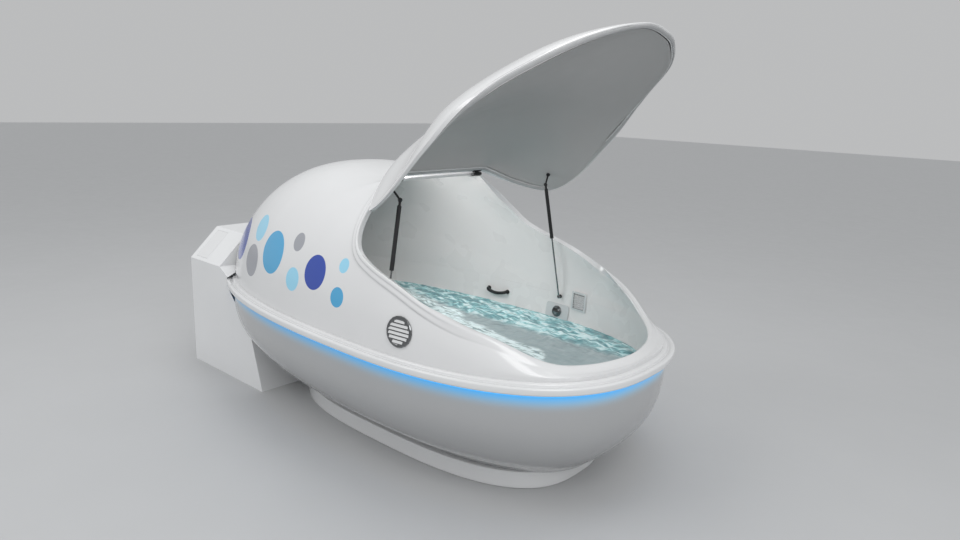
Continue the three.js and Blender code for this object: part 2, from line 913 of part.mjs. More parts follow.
function ventBezelGeometry() {
  const bore = ventRadius - ventBezel - ventProud;
  return onWall(standing([
    [bore, -canopyWall],
    [ventThroat, -canopyWall],
    [ventThroat, 0],
    [ventRadius, 0],
    [ventRadius, ventProud / 2],
    [ventRadius - ventBezel / 3, ventProud],
    [ventRadius - ventBezel, ventProud],
    [bore, ventProud / 2],
    [bore, -canopyWall],
  ]), ventSeat);
}

function ventLouvreGeometry() {
  const radius = ventRadius - ventBezel - ventProud - seatGap;
  const inner = radius - ventBezel / 3;
  const frame = standing([
    [inner, -ventProud],
    [radius, -ventProud],
    [radius, 0],
    [inner, 0],
    [inner, -ventProud],
  ]);
  const disc = standing([[0, -ventProud], [inner + seatGap, -ventProud], [inner + seatGap, 0], [0, 0]]);
  const pitch = (2 * inner) / louvreSlats;
  const slats = Array.from({ length: louvreSlats }, (_, k) => (
    new THREE.BoxGeometry(2 * radius, slatThickness, 2 * ventProud)
      .rotateX(-slatTilt)
      .translate(0, -inner + (k + 0.5) * pitch, -ventProud / 2)
  ));
  const slatted = toSolid(join(...slats)).intersect(toSolid(disc));
  return onWall(toGeometry(slatted.add(toSolid(frame))), ventSeat);
}

addPiece('vent_bezel', seatCut(ventBezelGeometry(), ventSeat.normal, canopyBored), materials.chrome);
addPiece('vent_louvre', ventLouvreGeometry(), materials.panel);

// Fittings inside, on the left wall

const leftWall = (x, z) => surfaceHit(basinPlain, place(x, 0, z), acrossY);

const buttonSeat = leftWall(buttonX, buttonZ);

function panelGeometry() {
  const shape = roundedShape(panelWidth, panelHeight, panelThickness * 3);
  shape.holes.push(roundHole(buttonRadius + 2 * rodClearance));
  return onWall(plate(shape, -fittingSink, panelThickness), buttonSeat);
}

const panelFace = panelThickness - fittingSink;

function buttonBezelGeometry() {
  const [bore, outer] = [buttonRadius + rodClearance, buttonRadius + buttonBezel];
  const base = panelFace + seatGap;
  return onWall(standing([
    [bore, base],
    [outer, base],
    [outer, base + buttonHeight / 3],
    [outer - buttonBezel / 2, base + buttonHeight],
    [bore, base + buttonHeight],
    [bore, base],
  ]), buttonSeat);
}

function buttonGeometry() {
  const base = panelFace + seatGap;
  const top = panelFace + buttonHeight + buttonTravel;
  return onWall(standing([
    [0, base],
    [buttonRadius, base],
    [buttonRadius, top - buttonTravel / 2],
    [buttonRadius - buttonTravel / 2, top],
    [0, top + buttonTravel / 2],
  ]), buttonSeat);
}

addPiece('button_panel', seatCut(panelGeometry(), buttonSeat.normal, basinPlain), materials.panel);
addPiece('button_bezel', buttonBezelGeometry(), materials.chrome);
addPiece('call_button', buttonGeometry(), materials.chrome);

const grilleSeat = leftWall(grilleX, grilleZ);

function grilleGeometry() {
  const shape = roundedShape(grilleWidth, grilleHeight, grilleFrame / 2);
  const [w, h] = [grilleWidth / 2 - grilleFrame, grilleHeight / 2 - grilleFrame];
  shape.holes.push(new THREE.Path([
    new THREE.Vector2(-w, -h),
    new THREE.Vector2(-w, h),
    new THREE.Vector2(w, h),
    new THREE.Vector2(w, -h),
  ]));
  const frame = plate(shape, -fittingSink, grilleDepth + fittingSink);
  const pitch = (2 * h) / grilleSlats;
  const slats = Array.from({ length: grilleSlats }, (_, k) => (
    new THREE.BoxGeometry(2 * w + grilleFrame / 2, slatThickness / 2, grilleDepth)
      .rotateX(slatTilt)
      .translate(0, -h + (k + 0.5) * pitch, grilleDepth / 2)
  ));
  return onWall(join(frame, ...slats), grilleSeat);
}

// The seam between basin and canopy, behind the grille
const wallSeam = ringOf([
  [basinInset, basinTopZ - wallGap],
  [rimWidth, basinTopZ - wallGap],
  [rimWidth, canopyBaseZ + wallGap],
  [basinInset, canopyBaseZ + wallGap],
]);
addPiece(
  'air_grille',
  seatCut(grilleGeometry(), grilleSeat.normal, basinPlain, canopyPlain, wallSeam),
  materials.panel,
);

const handleSeat = leftWall(handleX, handleZ);
// Places along the grip: along it, down as a share of its bow, and out from the wall
const handleShares = [
  [-1, 0, 0],
  [-0.98, 0, 0.5],
  [-0.8, 0.3, 0.9],
  [0, 1, 1],
  [0.8, 0.3, 0.9],
  [0.98, 0, 0.5],
  [1, 0, 0],
];

function handleGeometry() {
  const path = new THREE.CatmullRomCurve3(handleShares.map(([along, bow, out]) => place(
    (along * handleSpan) / 2,
    -bow * handleBow,
    out * handleStand,
  )));
  const section = new THREE.Shape().absarc(0, 0, handleRadius, 0, 2 * Math.PI);
  const grip = new THREE.ExtrudeGeometry(section, { steps: roundSteps, curveSegments: tubeSegments, extrudePath: path });
  const feet = [-1, 1].map((side) => standing([
    [0, -fittingSink],
    [handleRadius * 1.5, -fittingSink],
    [handleRadius * 1.4, padThickness],
    [0, padThickness],
  ], 12).translate((side * handleSpan) / 2, 0, 0));
  return onWall(join(grip, ...feet), handleSeat);
}

addPiece(
  'grab_handle',
  seatCut(handleGeometry(), handleSeat.normal, basinPlain),
  materials.black,
);

// Hinges: a canopy leaf with two knuckles, a lid leaf with one, and a pin

const lidPivot = new THREE.Group();
lidPivot.position.set(axisX, 0, axisZ);
lidPivot.rotation.y = -openAngle;
const lid = new THREE.Group();
lid.position.set(-axisX, 0, -axisZ);
lidPivot.add(lid);
tank.add(lidPivot);

const knuckleWidth = hingeWidth / 3;

function knuckle(y0, y1) {
  return pipe(barrelRadius, pinRadius + seatGap, place(axisX, y0, axisZ), place(axisX, y1, axisZ), 16);
}

function hingeHole(y) {
  return rod(
    pinRadius + seatGap,
    place(axisX, y - hingeWidth, axisZ),
    place(axisX, y + hingeWidth, axisZ),
    16,
  );
}

function canopyLeaf(y) {
  const top = hingeZ - canopyWall;
  const flap = block(
    hingeX - leafReach,
    axisX,
    y - hingeWidth / 2,
    y + hingeWidth / 2,
    top - leafThickness,
    top,
  );
  const parts = [-1, 1].flatMap((side) => {
    const [inner, outer] = [y + side * (knuckleWidth / 2 + seatGap), y + (side * hingeWidth) / 2];
    const [y0, y1] = [Math.min(inner, outer), Math.max(inner, outer)];
    return [
      rod(barrelRadius, place(axisX, y0, axisZ), place(axisX, y1, axisZ), 16),
      block(hingeX + axisForward / 4, axisX, y0, y1, top - leafThickness, axisZ),
    ];
  });
  return cut(join(flap, ...parts), hingeHole(y));
}

function lidLeaf(y) {
  const face = (axisDrop + lidSealSpace) * Math.cos(lidSlope) - seatGap;
  const [y0, y1] = [y - knuckleWidth / 2, y + knuckleWidth / 2];
  const flap = join(
    block(0, lidLeafReach, y - hingeWidth / 2, y + hingeWidth / 2, face - leafThickness, face),
    block(0, barrelRadius, y0, y1, 0, face),
  )
    .rotateY(lidSlope)
    .translate(axisX, 0, axisZ);
  const clear = [-1, 1].map((side) => rod(
    barrelRadius + 2 * seatGap,
    place(axisX, y + (side * knuckleWidth) / 2, axisZ),
    place(axisX, y + side * hingeWidth, axisZ),
    16,
  ));
  const barrel = rod(barrelRadius, place(axisX, y0, axisZ), place(axisX, y1, axisZ), 16);
  return cut(join(flap, barrel), hingeHole(y), ...clear);
}

const sides = [['right', -1], ['left', 1]];

sides.forEach(([side, sign]) => {
  const y = sign * (hingeHalf - hingeInboard);
  const pinHalf = hingeWidth / 2 + pinRadius;
  addPiece(
    `hinge_leaf_canopy_${side}`,
    seatCut(canopyLeaf(y), upright.clone().negate(), canopyBored),
    materials.black,
  );
  addPiece(`hinge_leaf_lid_${side}`, lidLeaf(y), materials.black, lid);
  addPiece(
    `hinge_pin_${side}`,
    rod(pinRadius, place(axisX, y - pinHalf, axisZ), place(axisX, y + pinHalf, axisZ), 12),
    materials.steel,
  );
});

// Lid skins and seal
const lidLinerPlain = lidLinerGeometry();
addPiece('lid_shell', lidShellPlain, materials.gelcoat, lid);
addPiece('lid_liner', lidLinerPlain, materials.liner, lid);
addPiece('lid_seal', sealGeometry(), materials.rubber, lid);

// Gas struts: the tube hangs from the lid, the rod slides in it

function strutTubeGeometry(top, foot) {
  const neck = ballRadius + rodTuck / 2;
  return turnedAlong([
    [0, -ballRadius],
    [ballRadius * 0.7, -ballRadius * 0.7],
    [ballRadius, 0],
    [ballRadius * 0.7, ballRadius * 0.7],
    [tubeRadius * 0.6, ballRadius],
    [tubeRadius * 0.6, neck],
    [tubeRadius, neck + tubeRadius / 2],
    [tubeRadius, strutTube],
    [rodRadius + rodClearance, strutTube],
    [rodRadius + rodClearance, neck + tubeRadius],
    [0, neck + tubeRadius],
  ], top, foot, 12);
}

function strutRodGeometry(top, foot) {
  const length = top.distanceTo(foot);
  return turnedAlong([
    [0, strutTube - rodTuck],
    [rodRadius, strutTube - rodTuck],
    [rodRadius, length - ballRadius],
    [ballRadius * 0.7, length - ballRadius * 0.7],
    [ballRadius, length],
    [ballRadius * 0.7, length + ballRadius * 0.7],
    [0, length + ballRadius],
  ], top, foot, 12);
}

// Ball stud: a pad on a wall and a stem that ends just short of the ball
function studGeometry(seat, ball) {
  const pad = turnedAlong(
    [[0, -seatGap], [padRadius, -seatGap], [padRadius, padThickness], [0, padThickness]],
    seat.point,
    seat.point.clone().add(seat.normal),
    16,
  );
  const way = ball.clone().sub(seat.point).normalize();
  const stem = rod(
    studRadius,
    seat.point.clone().addScaledVector(seat.normal, padThickness / 2),
    ball.clone().addScaledVector(way, -ballRadius - seatGap),
    10,
  );
  return join(pad, stem);
}

sides.forEach(([side, sign]) => {
  const top = place(strutTopX, sign * strutTopY, strutTopZ);
  const foot = place(strutFootX, sign * strutFootY, strutFootZ);
  addPiece(`strut_tube_${side}`, strutTubeGeometry(top, foot), materials.black);
  addPiece(`strut_rod_${side}`, strutRodGeometry(top, foot), materials.steel);

  const wallSeat = surfaceHit(basinPlain, foot.clone(), place(0, sign, 0));
  addPiece(
    `strut_stud_wall_${side}`,
    seatCut(studGeometry(wallSeat, foot), wallSeat.normal, basinPlain),
    materials.black,
  );

  const closedTop = top.clone()
    .sub(place(axisX, 0, axisZ))
    .applyAxisAngle(acrossY, openAngle)
    .add(place(axisX, 0, axisZ));
  const lidSeat = surfaceHit(lidLinerPlain, closedTop, place(1, sign, 1));
  addPiece(
    `strut_stud_lid_${side}`,
    seatCut(studGeometry(lidSeat, closedTop), lidSeat.normal, lidLinerPlain, lidShellPlain),
    materials.black,
    lid,
  );
});

// Cabinet behind the pod

function outlineSolid(points, depth, from, turn) {
  const shape = new THREE.Shape(points.map(([u, v]) => new THREE.Vector2(u, v)));
  const geometry = new THREE.ExtrudeGeometry(shape, { depth, bevelEnabled: false });
  return toSolid(turn(geometry.translate(0, 0, from)));
}

// Cabinet's body, all faces drawn in by a wall, and run out at the bottom
function cabinetBody(wall, bottom) {
  const [half, topHalf] = [cabinetWidth / 2 - wall, cabinetTopWidth / 2 - wall / 2];
  const [sideZ, topZ] = [cabinetSideZ - wall / 2, cabinetTopZ - wall];
  const section = outlineSolid(
    [[-half, bottom], [half, bottom], [half, sideZ], [topHalf, topZ], [-topHalf, topZ], [-half, sideZ]],
    cabinetLength + 2 * cutOverrun,
    cabinetRearX - cutOverrun,
    (geometry) => geometry.rotateZ(Math.PI / 2).rotateY(Math.PI / 2),
  );
  const profile = outlineSolid(
    [
      [cabinetRearX + wall, bottom],
      [cabinetFrontX - wall, bottom],
      [cabinetKneeX - wall, cabinetKneeZ],
      [cabinetShoulderX - wall, cabinetShoulderZ],
      [cabinetNeckX - wall, cabinetSideZ],
      [cabinetNeckX - wall, cabinetTopZ],
      [cabinetRearX + wall, cabinetTopZ],
    ],
    cabinetWidth,
    -cabinetWidth / 2,
    (geometry) => geometry.rotateX(Math.PI / 2),
  );
  return section.intersect(profile);
}

// Outside of the pod with its opening filled, grown by the cabinet's gap
function podEnvelope() {
  const rows = [
    ...hullRows.slice(0, -1),
    podRing(0, rimSeatZ),
    podRing(0, rimTopZ),
    ...canopySkin,
  ];
  return toSolid(loft(offsetRows(rows, cabinetGap)));
}

// Chamfer on the right side of the cabinet: down the slope, and out of it
const slopeTop = place(0, -cabinetTopWidth / 2, cabinetTopZ);
const slopeDown = place(0, -(cabinetWidth - cabinetTopWidth) / 2, cabinetSideZ - cabinetTopZ);
const slopeLength = slopeDown.length();
slopeDown.normalize();
const slopeOut = place(0, slopeDown.z, -slopeDown.y);
const hatchRearX = cabinetRearX + hatchOffset;

function hatchBlock(spare, rise, fall) {
  const width = slopeLength - 2 * hatchMargin + 2 * spare;
  const geometry = new THREE.BoxGeometry(hatchLength + 2 * spare, width, rise + fall);
  geometry.translate(hatchLength / 2, -slopeLength / 2, (rise - fall) / 2);
  const basis = new THREE.Matrix4().makeBasis(place(1, 0, 0), slopeDown.clone().negate(), slopeOut);
  return geometry.applyMatrix4(basis.setPosition(slopeTop.clone().setX(hatchRearX)));
}

const cabinetHollow = cabinetBody(cabinetWall, -cutOverrun);
const cabinetShell = cabinetBody(0, 0)
  .subtract(cabinetHollow)
  .subtract(podEnvelope())
  .subtract(toSolid(hatchBlock(hatchGap, cutOverrun, 2 * cabinetWall)));
addPiece('cabinet_shell', toGeometry(cabinetShell), materials.gelcoat);
addPiece('cabinet_hatch', hatchBlock(0, 0, cabinetWall), materials.gelcoat);

const trayX0 = cabinetRearX + cabinetWall + seatGap;
const trayX1 = cabinetKneeX - 2 * cabinetWall;
const trayHalf = cabinetWidth / 2 - cabinetWall - seatGap;
addPiece('cabinet_tray', block(trayX0, trayX1, -trayHalf, trayHalf, 0, trayHeight), materials.plastic);

const floorZ = trayHeight + seatGap;

// Pump: motor along y, with its volute on the inner end
const pumpZ = floorZ + voluteRadius;
const motorY = pumpY + voluteDepth / 2 + seatGap;
addPiece('pump_volute', rod(
  voluteRadius,
  place(pumpX, pumpY + voluteDepth / 2, pumpZ),
  place(pumpX, pumpY - voluteDepth / 2, pumpZ),
), materials.black);
addPiece('pump_motor', rod(
  pumpRadius,
  place(pumpX, motorY, pumpZ),
  place(pumpX, motorY + pumpLength, pumpZ),
), materials.steel);

// Filter vessel and its cap
addPiece('filter_vessel', standing([
  [0, 0],
  [filterRadius, 0],
  [filterRadius, filterHeight],
  [0, filterHeight],
]).translate(filterX, returnY, floorZ), materials.plastic);
addPiece('filter_cap', standing([
  [0, 0],
  [filterRadius, 0],
  [filterRadius - capHeight / 2, capHeight],
  [0, capHeight],
]).translate(filterX, returnY, floorZ + filterHeight + seatGap), materials.black);

addPiece('water_heater', rod(
  heaterRadius,
  place(heaterX, heaterY - heaterLength / 2, floorZ + heaterRadius),
  place(heaterX, heaterY + heaterLength / 2, floorZ + heaterRadius),
), materials.steel);

addPiece('control_unit', block(
  cabinetRearX + cabinetWall + seatGap,
  cabinetRearX + cabinetWall + controlDepth,
  -controlWidth / 2,
  controlWidth / 2,
  controlZ,
  controlZ + controlHeight,
), materials.plastic);

// Pipes from the filter and from the pump through hull and basin
const pipeEnd = (y) => surfaceHit(basinPlain, place(0, y, pipeZ), rearward).point
  .add(place(pipeRadius, 0, 0));
addPiece('return_pipe', pipe(
  pipeRadius,
  pipeBore,
  place(filterX + filterRadius + seatGap, returnY, pipeZ),
  pipeEnd(returnY),
), materials.plastic);

function suctionGeometry() {
  const start = place(pumpX, suctionY, pumpZ + voluteRadius + seatGap);
  const corner = place(pumpX, suctionY, pipeZ);
  const end = pipeEnd(suctionY);
  const bend = 2 * pipeRadius;
  const path = new THREE.CurvePath();
  const [a, b] = [corner.clone().setZ(pipeZ - bend), corner.clone().setX(pumpX + bend)];
  path.add(new THREE.LineCurve3(start, a));
  path.add(new THREE.QuadraticBezierCurve3(a, corner, b));
  path.add(new THREE.LineCurve3(b, end));
  const shape = new THREE.Shape().absarc(0, 0, pipeRadius, 0, 2 * Math.PI);
  shape.holes.push(new THREE.Path().absarc(0, 0, pipeBore, 0, 2 * Math.PI));
  return new THREE.ExtrudeGeometry(shape, { steps: roundSteps / 2, curveSegments: tubeSegments, extrudePath: path });
}

addPiece('suction_pipe', suctionGeometry(), materials.plastic);

export default tank;
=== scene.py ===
"""Flotation tank: the looks of the pod, its lid, water, fittings and cabinet.

The plinth, hull, basin, rim, light strip and canopy are lofted here again from the
dimensions of the solids, with finer steps. The lid has a smooth edge and crown of its
own, and the water fills the basin up to its line. Lengths are millimetres until a mesh
is made, and metres in materials, lamps and the camera.
"""
import math

import bmesh
import bpy
import numpy as np
from mathutils import Matrix, Vector
from mathutils.bvhtree import BVHTree


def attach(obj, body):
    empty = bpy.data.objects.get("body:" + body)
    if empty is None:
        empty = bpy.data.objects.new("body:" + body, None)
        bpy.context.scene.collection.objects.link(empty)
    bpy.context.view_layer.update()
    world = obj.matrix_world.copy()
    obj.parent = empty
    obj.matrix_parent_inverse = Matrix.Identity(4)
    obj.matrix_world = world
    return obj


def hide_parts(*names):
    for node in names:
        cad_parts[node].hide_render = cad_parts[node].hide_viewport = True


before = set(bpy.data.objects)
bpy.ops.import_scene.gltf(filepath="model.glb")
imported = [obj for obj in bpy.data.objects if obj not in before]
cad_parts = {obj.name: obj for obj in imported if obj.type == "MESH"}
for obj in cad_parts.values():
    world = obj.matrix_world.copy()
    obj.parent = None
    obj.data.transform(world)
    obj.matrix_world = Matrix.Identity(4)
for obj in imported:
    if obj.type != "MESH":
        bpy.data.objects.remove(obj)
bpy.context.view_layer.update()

MM = 0.001
MERGE_DISTANCE = 1e-6
DEGREE = math.pi / 180

# Dimensions of the solids, in millimetres
SEAT_GAP = 0.3
POD_LENGTH = 2600
POD_WIDTH = 1412
WIDEST_X = 246
REAR_POWER = 2.4
FRONT_POWER = 2.47
POD_REAR = POD_LENGTH / 2 + WIDEST_X
POD_FRONT = POD_LENGTH / 2 - WIDEST_X
POD_HALF = POD_WIDTH / 2

PLINTH_X = 182
PLINTH_LENGTH = 1650
PLINTH_WIDTH = 856
PLINTH_POWER = 2.84
PLINTH_HEIGHT = 76.7
PLINTH_LEDGE = 40
PLINTH_WALL = 8
PLINTH_EDGE = 6
PLINTH_ROUND = 3

HULL_HEIGHT = 447
HULL_BOTTOM = PLINTH_HEIGHT + SEAT_GAP
HULL_TOP = HULL_BOTTOM + HULL_HEIGHT
HULL_INSET = 33
HULL_WALL = 10
HULL_TUCK = (613, 214, 272)
HULL_BEND = 3.24
HULL_FLAT = 0.86

RIM_STEP = 7
RIM_BAND_HEIGHT = 31
RIM_CREST = 6
RIM_SEAT = HULL_TOP + SEAT_GAP
RIM_BAND = RIM_SEAT + RIM_STEP
RIM_BAND_TOP = RIM_BAND + RIM_BAND_HEIGHT
RIM_TOP = RIM_BAND_TOP + RIM_CREST
RIM_WIDTH = 57
RIM_ROUND = 8
RIM_LEAN = 3
# Distance in from the rim's edge, and height over the band's top and over the rim's top
RIM_GROOVE = ((15, -0.3), (19, -1.5), (23, -4), (26, -5), (28.5, -4), (30, 1))
RIM_BEAD = ((31.5, -1.5), (34, 0))
LED_WIDTH = 16
LED_HEIGHT = 6
LED_CORNER = 2

BASIN_WALL = 6
BASIN_FLOOR = 170
BASIN_INSET = RIM_WIDTH + SEAT_GAP + BASIN_WALL
BASIN_TUCK = (457, 277, 242)
BASIN_BEND = 3
BASIN_FLAT = 0.9

CANOPY_INSET = 48
CANOPY_WALL = 12
CANOPY_FOOT = 15
CANOPY_BASE = RIM_TOP + SEAT_GAP
CANOPY_SHOULDER = CANOPY_BASE + CANOPY_FOOT
CROWN_HEIGHT = 665
CROWN_X = -263
CROWN_TO_REAR = 924
CROWN_TO_FOOT = 1500
CROWN_REAR_POWER = 2.07
CROWN_FOOT_POWER = 6
CROWN_FOOT_DROP = 3.4
SECTION_POWER = 2.34
SECTION_ROUND = 1.888
EDGE_BLEND = 4
FAN_ANGLE = 15 * DEGREE

TIP_X = 1198
TIP_Z = 587
OPENING_HALF = 595
HINGE_X = 108
HINGE_Z = 1200
HINGE_HALF = 302
LIP_WIDTH = 44
LIP_CREST = 14
# Shares of the hinge's height between which the lip turns stepped, and between which it fades
LIP_STEPS_IN = (0.12, 0.4)
LIP_FADES_OUT = (0.78, 0.98)
# Places along one side of the opening: along from hinge to tip, out, and up
OPENING_SHARES = (
    (1.0, 0.0, 0.0), (0.989, 0.176, 0.0), (0.96, 0.361, 0.002), (0.906, 0.555, 0.014),
    (0.844, 0.676, 0.052), (0.745, 0.8, 0.14), (0.627, 0.916, 0.224), (0.491, 0.982, 0.318),
    (0.355, 1.0, 0.41), (0.21, 0.992, 0.49), (0.112, 0.955, 0.563), (0.058, 0.874, 0.671),
    (0.02, 0.714, 0.819),
)

# Edge of the shut lid from its tip to the hinge, as shares of the opening's length, half
# width and height
LID_SHARES = (
    (1.01, 0, 0.04), (0.996, 0.21, 0.041), (0.965, 0.42, 0.046), (0.915, 0.6, 0.072),
    (0.824, 0.78, 0.135), (0.707, 0.92, 0.224), (0.565, 1.0, 0.3), (0.403, 1.045, 0.377),
    (0.216, 1.062, 0.475), (0.065, 1.03, 0.605), (0.022, 0.93, 0.69), (0.01, 0.74, 0.82),
    (0.0154, 0.5076, 1.0162),
)

# Hinge axis of the lid
OPEN_ANGLE = 60 * DEGREE
AXIS_FORWARD = 12
AXIS_DROP = 4
AXIS_X = HINGE_X + AXIS_FORWARD
AXIS_Z = HINGE_Z - AXIS_DROP

# Shell, rim, lining and seal of the lid; its rim fades out between shares of the hinge's height
LID_SLOPE = 26 * DEGREE
LID_SKIN = 5
LID_RIM = 40
LID_OVERHANG = 26
LID_FLANGE = 24
LID_EDGE = 14
LID_EDGE_STEP = 1.5
LID_EDGE_SHARE = 0.4
LID_CORNER_IN = 2
LID_CORNER_UP = 1
LID_SEAL_SPACE = 11
LID_MOST_DROP = 34
LID_TIP_SPREAD = 0.15
LID_FADES_OUT = (0.8, 0.97)
LID_CENTRE = 0.52
LID_CROWN = 180
LID_POWER = 2.2
LID_BULGE = 0.85
LID_HINGE_SHARE = 0.3
LINER_WALL = 4
LINER_CROWN = 125
LINER_DEPTH = 12
LINER_OVER_LIP = 8
SEAL_WIDTH = 14
SEAL_HEIGHT = 5
SEAL_TOP = -0.6
SEAL_CORNER_IN = 2
SEAL_CORNER_UP = 1.5

# Vent on the right side, its dark back disc, which is painted shade behind the slats, and its slats
VENT_X = 541
VENT_Z = 672.5
VENT_DISC = 54
VENT_BACK = (0.5, 1.5)
VENT_PROUD = 7
VENT_SLATS = 6
VENT_PITCH = 16
VENT_HALF_SHARE = 0.32
VENT_FALL_SHARE = 0.6

# Water: its line, its gap to the basin and its underside
WATER_LEVEL = 435
WATER_GAP = 0.5
WATER_SIDE = 16
WATER_DEPTH = 18
WATER_FLOOR_SHARE = 0.97
# Waves: how many, their lengths, turns and bends, and their height in the calm middle and
# beyond it
WAVES = 9
WAVE_LENGTH = 46
WAVE_LENGTH_STEP = 17
WAVE_LENGTH_SPREAD = 61
WAVE_TURN = 0.7
WAVE_TURN_SWAY = 0.35
WAVE_TURN_RATE = 5.1
WAVE_SHIFT = 1.7
WAVE_BEND = 1.3
WAVE_BEND_LENGTH = 170
WAVE_BEND_STEP = 23
WAVE_CALM = 0.22
WAVE_ROUGH = 0.95
WAVE_CALM_HALF = 110
WAVE_ROUGH_HALF = 420
WAVE_EDGE_SHARE = 0.02
WAVE_EDGE_CALM = 0.2

# Fineness of the looks
SPAN_STEPS = 80
SIDE_STEPS = 17 * 5
HINGE_STEPS = 14 * 3
COLUMN_STEPS = 120
BOWL_STEPS = 56
ROUND_STEPS = 5
PLINTH_STEPS = 6
FOOT_STEPS = 8
DOME_STEPS = 46
LID_ROWS = 40
LID_LAST_SHARE = 0.97
VENT_STEPS = 48
WATER_COLUMNS = 420
WATER_RINGS = 190
WATER_LAST_SHARE = 0.01
# Columns over which the lid's rim is evened out: its facing, its edge, and its highest lift
FACING_EVEN = 5
RIM_EVEN = 3
LIFT_REACH = 2

MIRRORED = np.array([1, -1, 1])
LEAST_LENGTH = 1e-9


# Outlines

def oval(angle, rear, front, half, centre, power_rear, power_front):
    c, s = np.cos(angle), np.sin(angle)
    length = np.where(c < 0, rear, front)
    power = np.where(c < 0, power_rear, power_front)
    reach = (np.abs(c) ** power + np.abs(s) ** power) ** (-1 / power)
    return np.stack([centre + length * c * reach, half * s * reach, np.zeros_like(c)], -1)


def pod_ring(inset, z):
    ring = oval(AROUND, POD_REAR - inset, POD_FRONT - inset, POD_HALF - inset,
                WIDEST_X, REAR_POWER, FRONT_POWER)
    ring[:, 2] = z
    return ring


def catmull_rom(points, per_span):
    ends = np.vstack([2 * points[0] - points[1], points, 2 * points[-1] - points[-2]])
    t = np.linspace(0, 1, per_span, endpoint=False)[:, None]
    spans = []
    for k in range(len(points) - 1):
        p0, p1, p2, p3 = ends[k:k + 4]
        leave, arrive = (p2 - p0) / 2, (p3 - p1) / 2
        spans.append((2 * t ** 3 - 3 * t ** 2 + 1) * p1 + (t ** 3 - 2 * t ** 2 + t) * leave
                     + (3 * t ** 2 - 2 * t ** 3) * p2 + (t ** 3 - t ** 2) * arrive)
    return np.vstack(spans + [points[-1:]])


def path_length(line):
    return np.concatenate([[0], np.cumsum(np.linalg.norm(np.diff(line, axis=0), axis=1))])


def at_lengths(line, lengths):
    run = path_length(line)
    return np.stack([np.interp(lengths, run, line[:, axis]) for axis in range(3)], -1)


def placed_shares(shares):
    """Places given as shares of the opening's length, half width and height."""
    return [HINGE_X, 0, TIP_Z] + np.array(shares) * [TIP_X - HINGE_X, OPENING_HALF, HINGE_Z - TIP_Z]


def height_share(points):
    """Height over the tip as a share of the hinge's height over it."""
    return (points[..., 2] - TIP_Z) / (HINGE_Z - TIP_Z)


def whole_edge(side):
    """Left half and whole of a closed edge whose left side is given from its tip to the hinge."""
    curve = catmull_rom(np.vstack([side[1:][::-1] * MIRRORED, side]), SPAN_STEPS)
    total = path_length(curve)[-1]
    half = at_lengths(curve, total * (0.5 + np.arange(SIDE_STEPS + 1) / (2 * SIDE_STEPS)))
    half[0, 1] = 0
    shares = 1 - 2 * np.arange(1, HINGE_STEPS) / HINGE_STEPS
    x, y, z = half[-1]
    hinge = np.stack([np.full_like(shares, x), y * shares, np.full_like(shares, z)], -1)
    return half, np.vstack([half, hinge, half[1:][::-1] * MIRRORED])


def edge_angles(half):
    length = np.where(half[:, 0] < WIDEST_X, POD_REAR, TIP_X - WIDEST_X)
    side = np.arctan2(np.abs(half[:, 1]) / OPENING_HALF, (half[:, 0] - WIDEST_X) / length)
    side = side + FAN_ANGLE * height_share(half) ** 2
    steps = np.arange(1, HINGE_STEPS) / HINGE_STEPS
    hinge = side[-1] + (math.pi - side[-1]) * 2 * steps
    return np.concatenate([side, hinge, -side[1:][::-1]])


OPENING_SIDE = np.vstack([placed_shares(OPENING_SHARES), [HINGE_X, HINGE_HALF, HINGE_Z]])
SIDE_EDGE, OPENING = whole_edge(OPENING_SIDE)
AROUND = edge_angles(SIDE_EDGE)
COUNT = len(AROUND)


def unit(vectors):
    return vectors / np.maximum(np.linalg.norm(vectors, axis=-1, keepdims=True), LEAST_LENGTH)


def normals(rows):
    above = np.concatenate([rows[1:], rows[-1:]])
    below = np.concatenate([rows[:1], rows[:-1]])
    around = np.roll(rows, -1, axis=1) - np.roll(rows, 1, axis=1)
    return unit(np.cross(around, above - below))


def offset(rows, distance):
    return rows + normals(rows) * distance


def smoothstep(x, low, high):
    t = np.clip((x - low) / (high - low), 0, 1)
    return t * t * (3 - 2 * t)


# Meshes

def linked(obj):
    bpy.context.scene.collection.objects.link(obj)
    return obj


def mesh_object(name, points, faces, body, replaced=(), materials=(), indices=None, sharp=40):
    mesh = bpy.data.meshes.new(name)
    mesh.from_pydata([tuple(p) for p in np.asarray(points) * MM], [], faces)
    for material in materials:
        mesh.materials.append(material)
    if indices is not None:
        mesh.polygons.foreach_set("material_index", indices)
    work = bmesh.new()
    work.from_mesh(mesh)
    bmesh.ops.remove_doubles(work, verts=work.verts, dist=MERGE_DISTANCE)
    bmesh.ops.recalc_face_normals(work, faces=work.faces)
    work.to_mesh(mesh)
    work.free()
    mesh.polygons.foreach_set("use_smooth", [True] * len(mesh.polygons))
    mesh.set_sharp_from_angle(angle=sharp * DEGREE)
    mesh.update()
    obj = linked(bpy.data.objects.new(name, mesh))
    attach(obj, body)
    if replaced:
        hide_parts(*replaced)


def loft(rings, loop=False):
    """Points and faces over rings of equal count, and the band that each face is in."""
    rings = np.asarray(rings)
    total, count = rings.shape[:2]
    points = rings.reshape(-1, 3)
    faces, bands = [], []
    for k in range(total if loop else total - 1):
        after = (k + 1) % total
        for i in range(count):
            j = (i + 1) % count
            faces.append((k * count + i, k * count + j, after * count + j, after * count + i))
            bands.append(k)
    if not loop:
        for k, way in ((0, -1), (total - 1, 1)):
            hub = len(points)
            points = np.vstack([points, rings[k].mean(axis=0)])
            for i in range(count):
                a, b = k * count + i, k * count + (i + 1) % count
                faces.append((a, b, hub) if way > 0 else (b, a, hub))
                bands.append(k)
    return points, faces, bands


# Materials

WHITE = (0.69, 0.693, 0.697)
GRAIN_HEIGHT = 0.0004
# Reach of the painted shade in recesses, in metres
RECESS_REACH = 0.02
DOT_BLUR = 0.0008
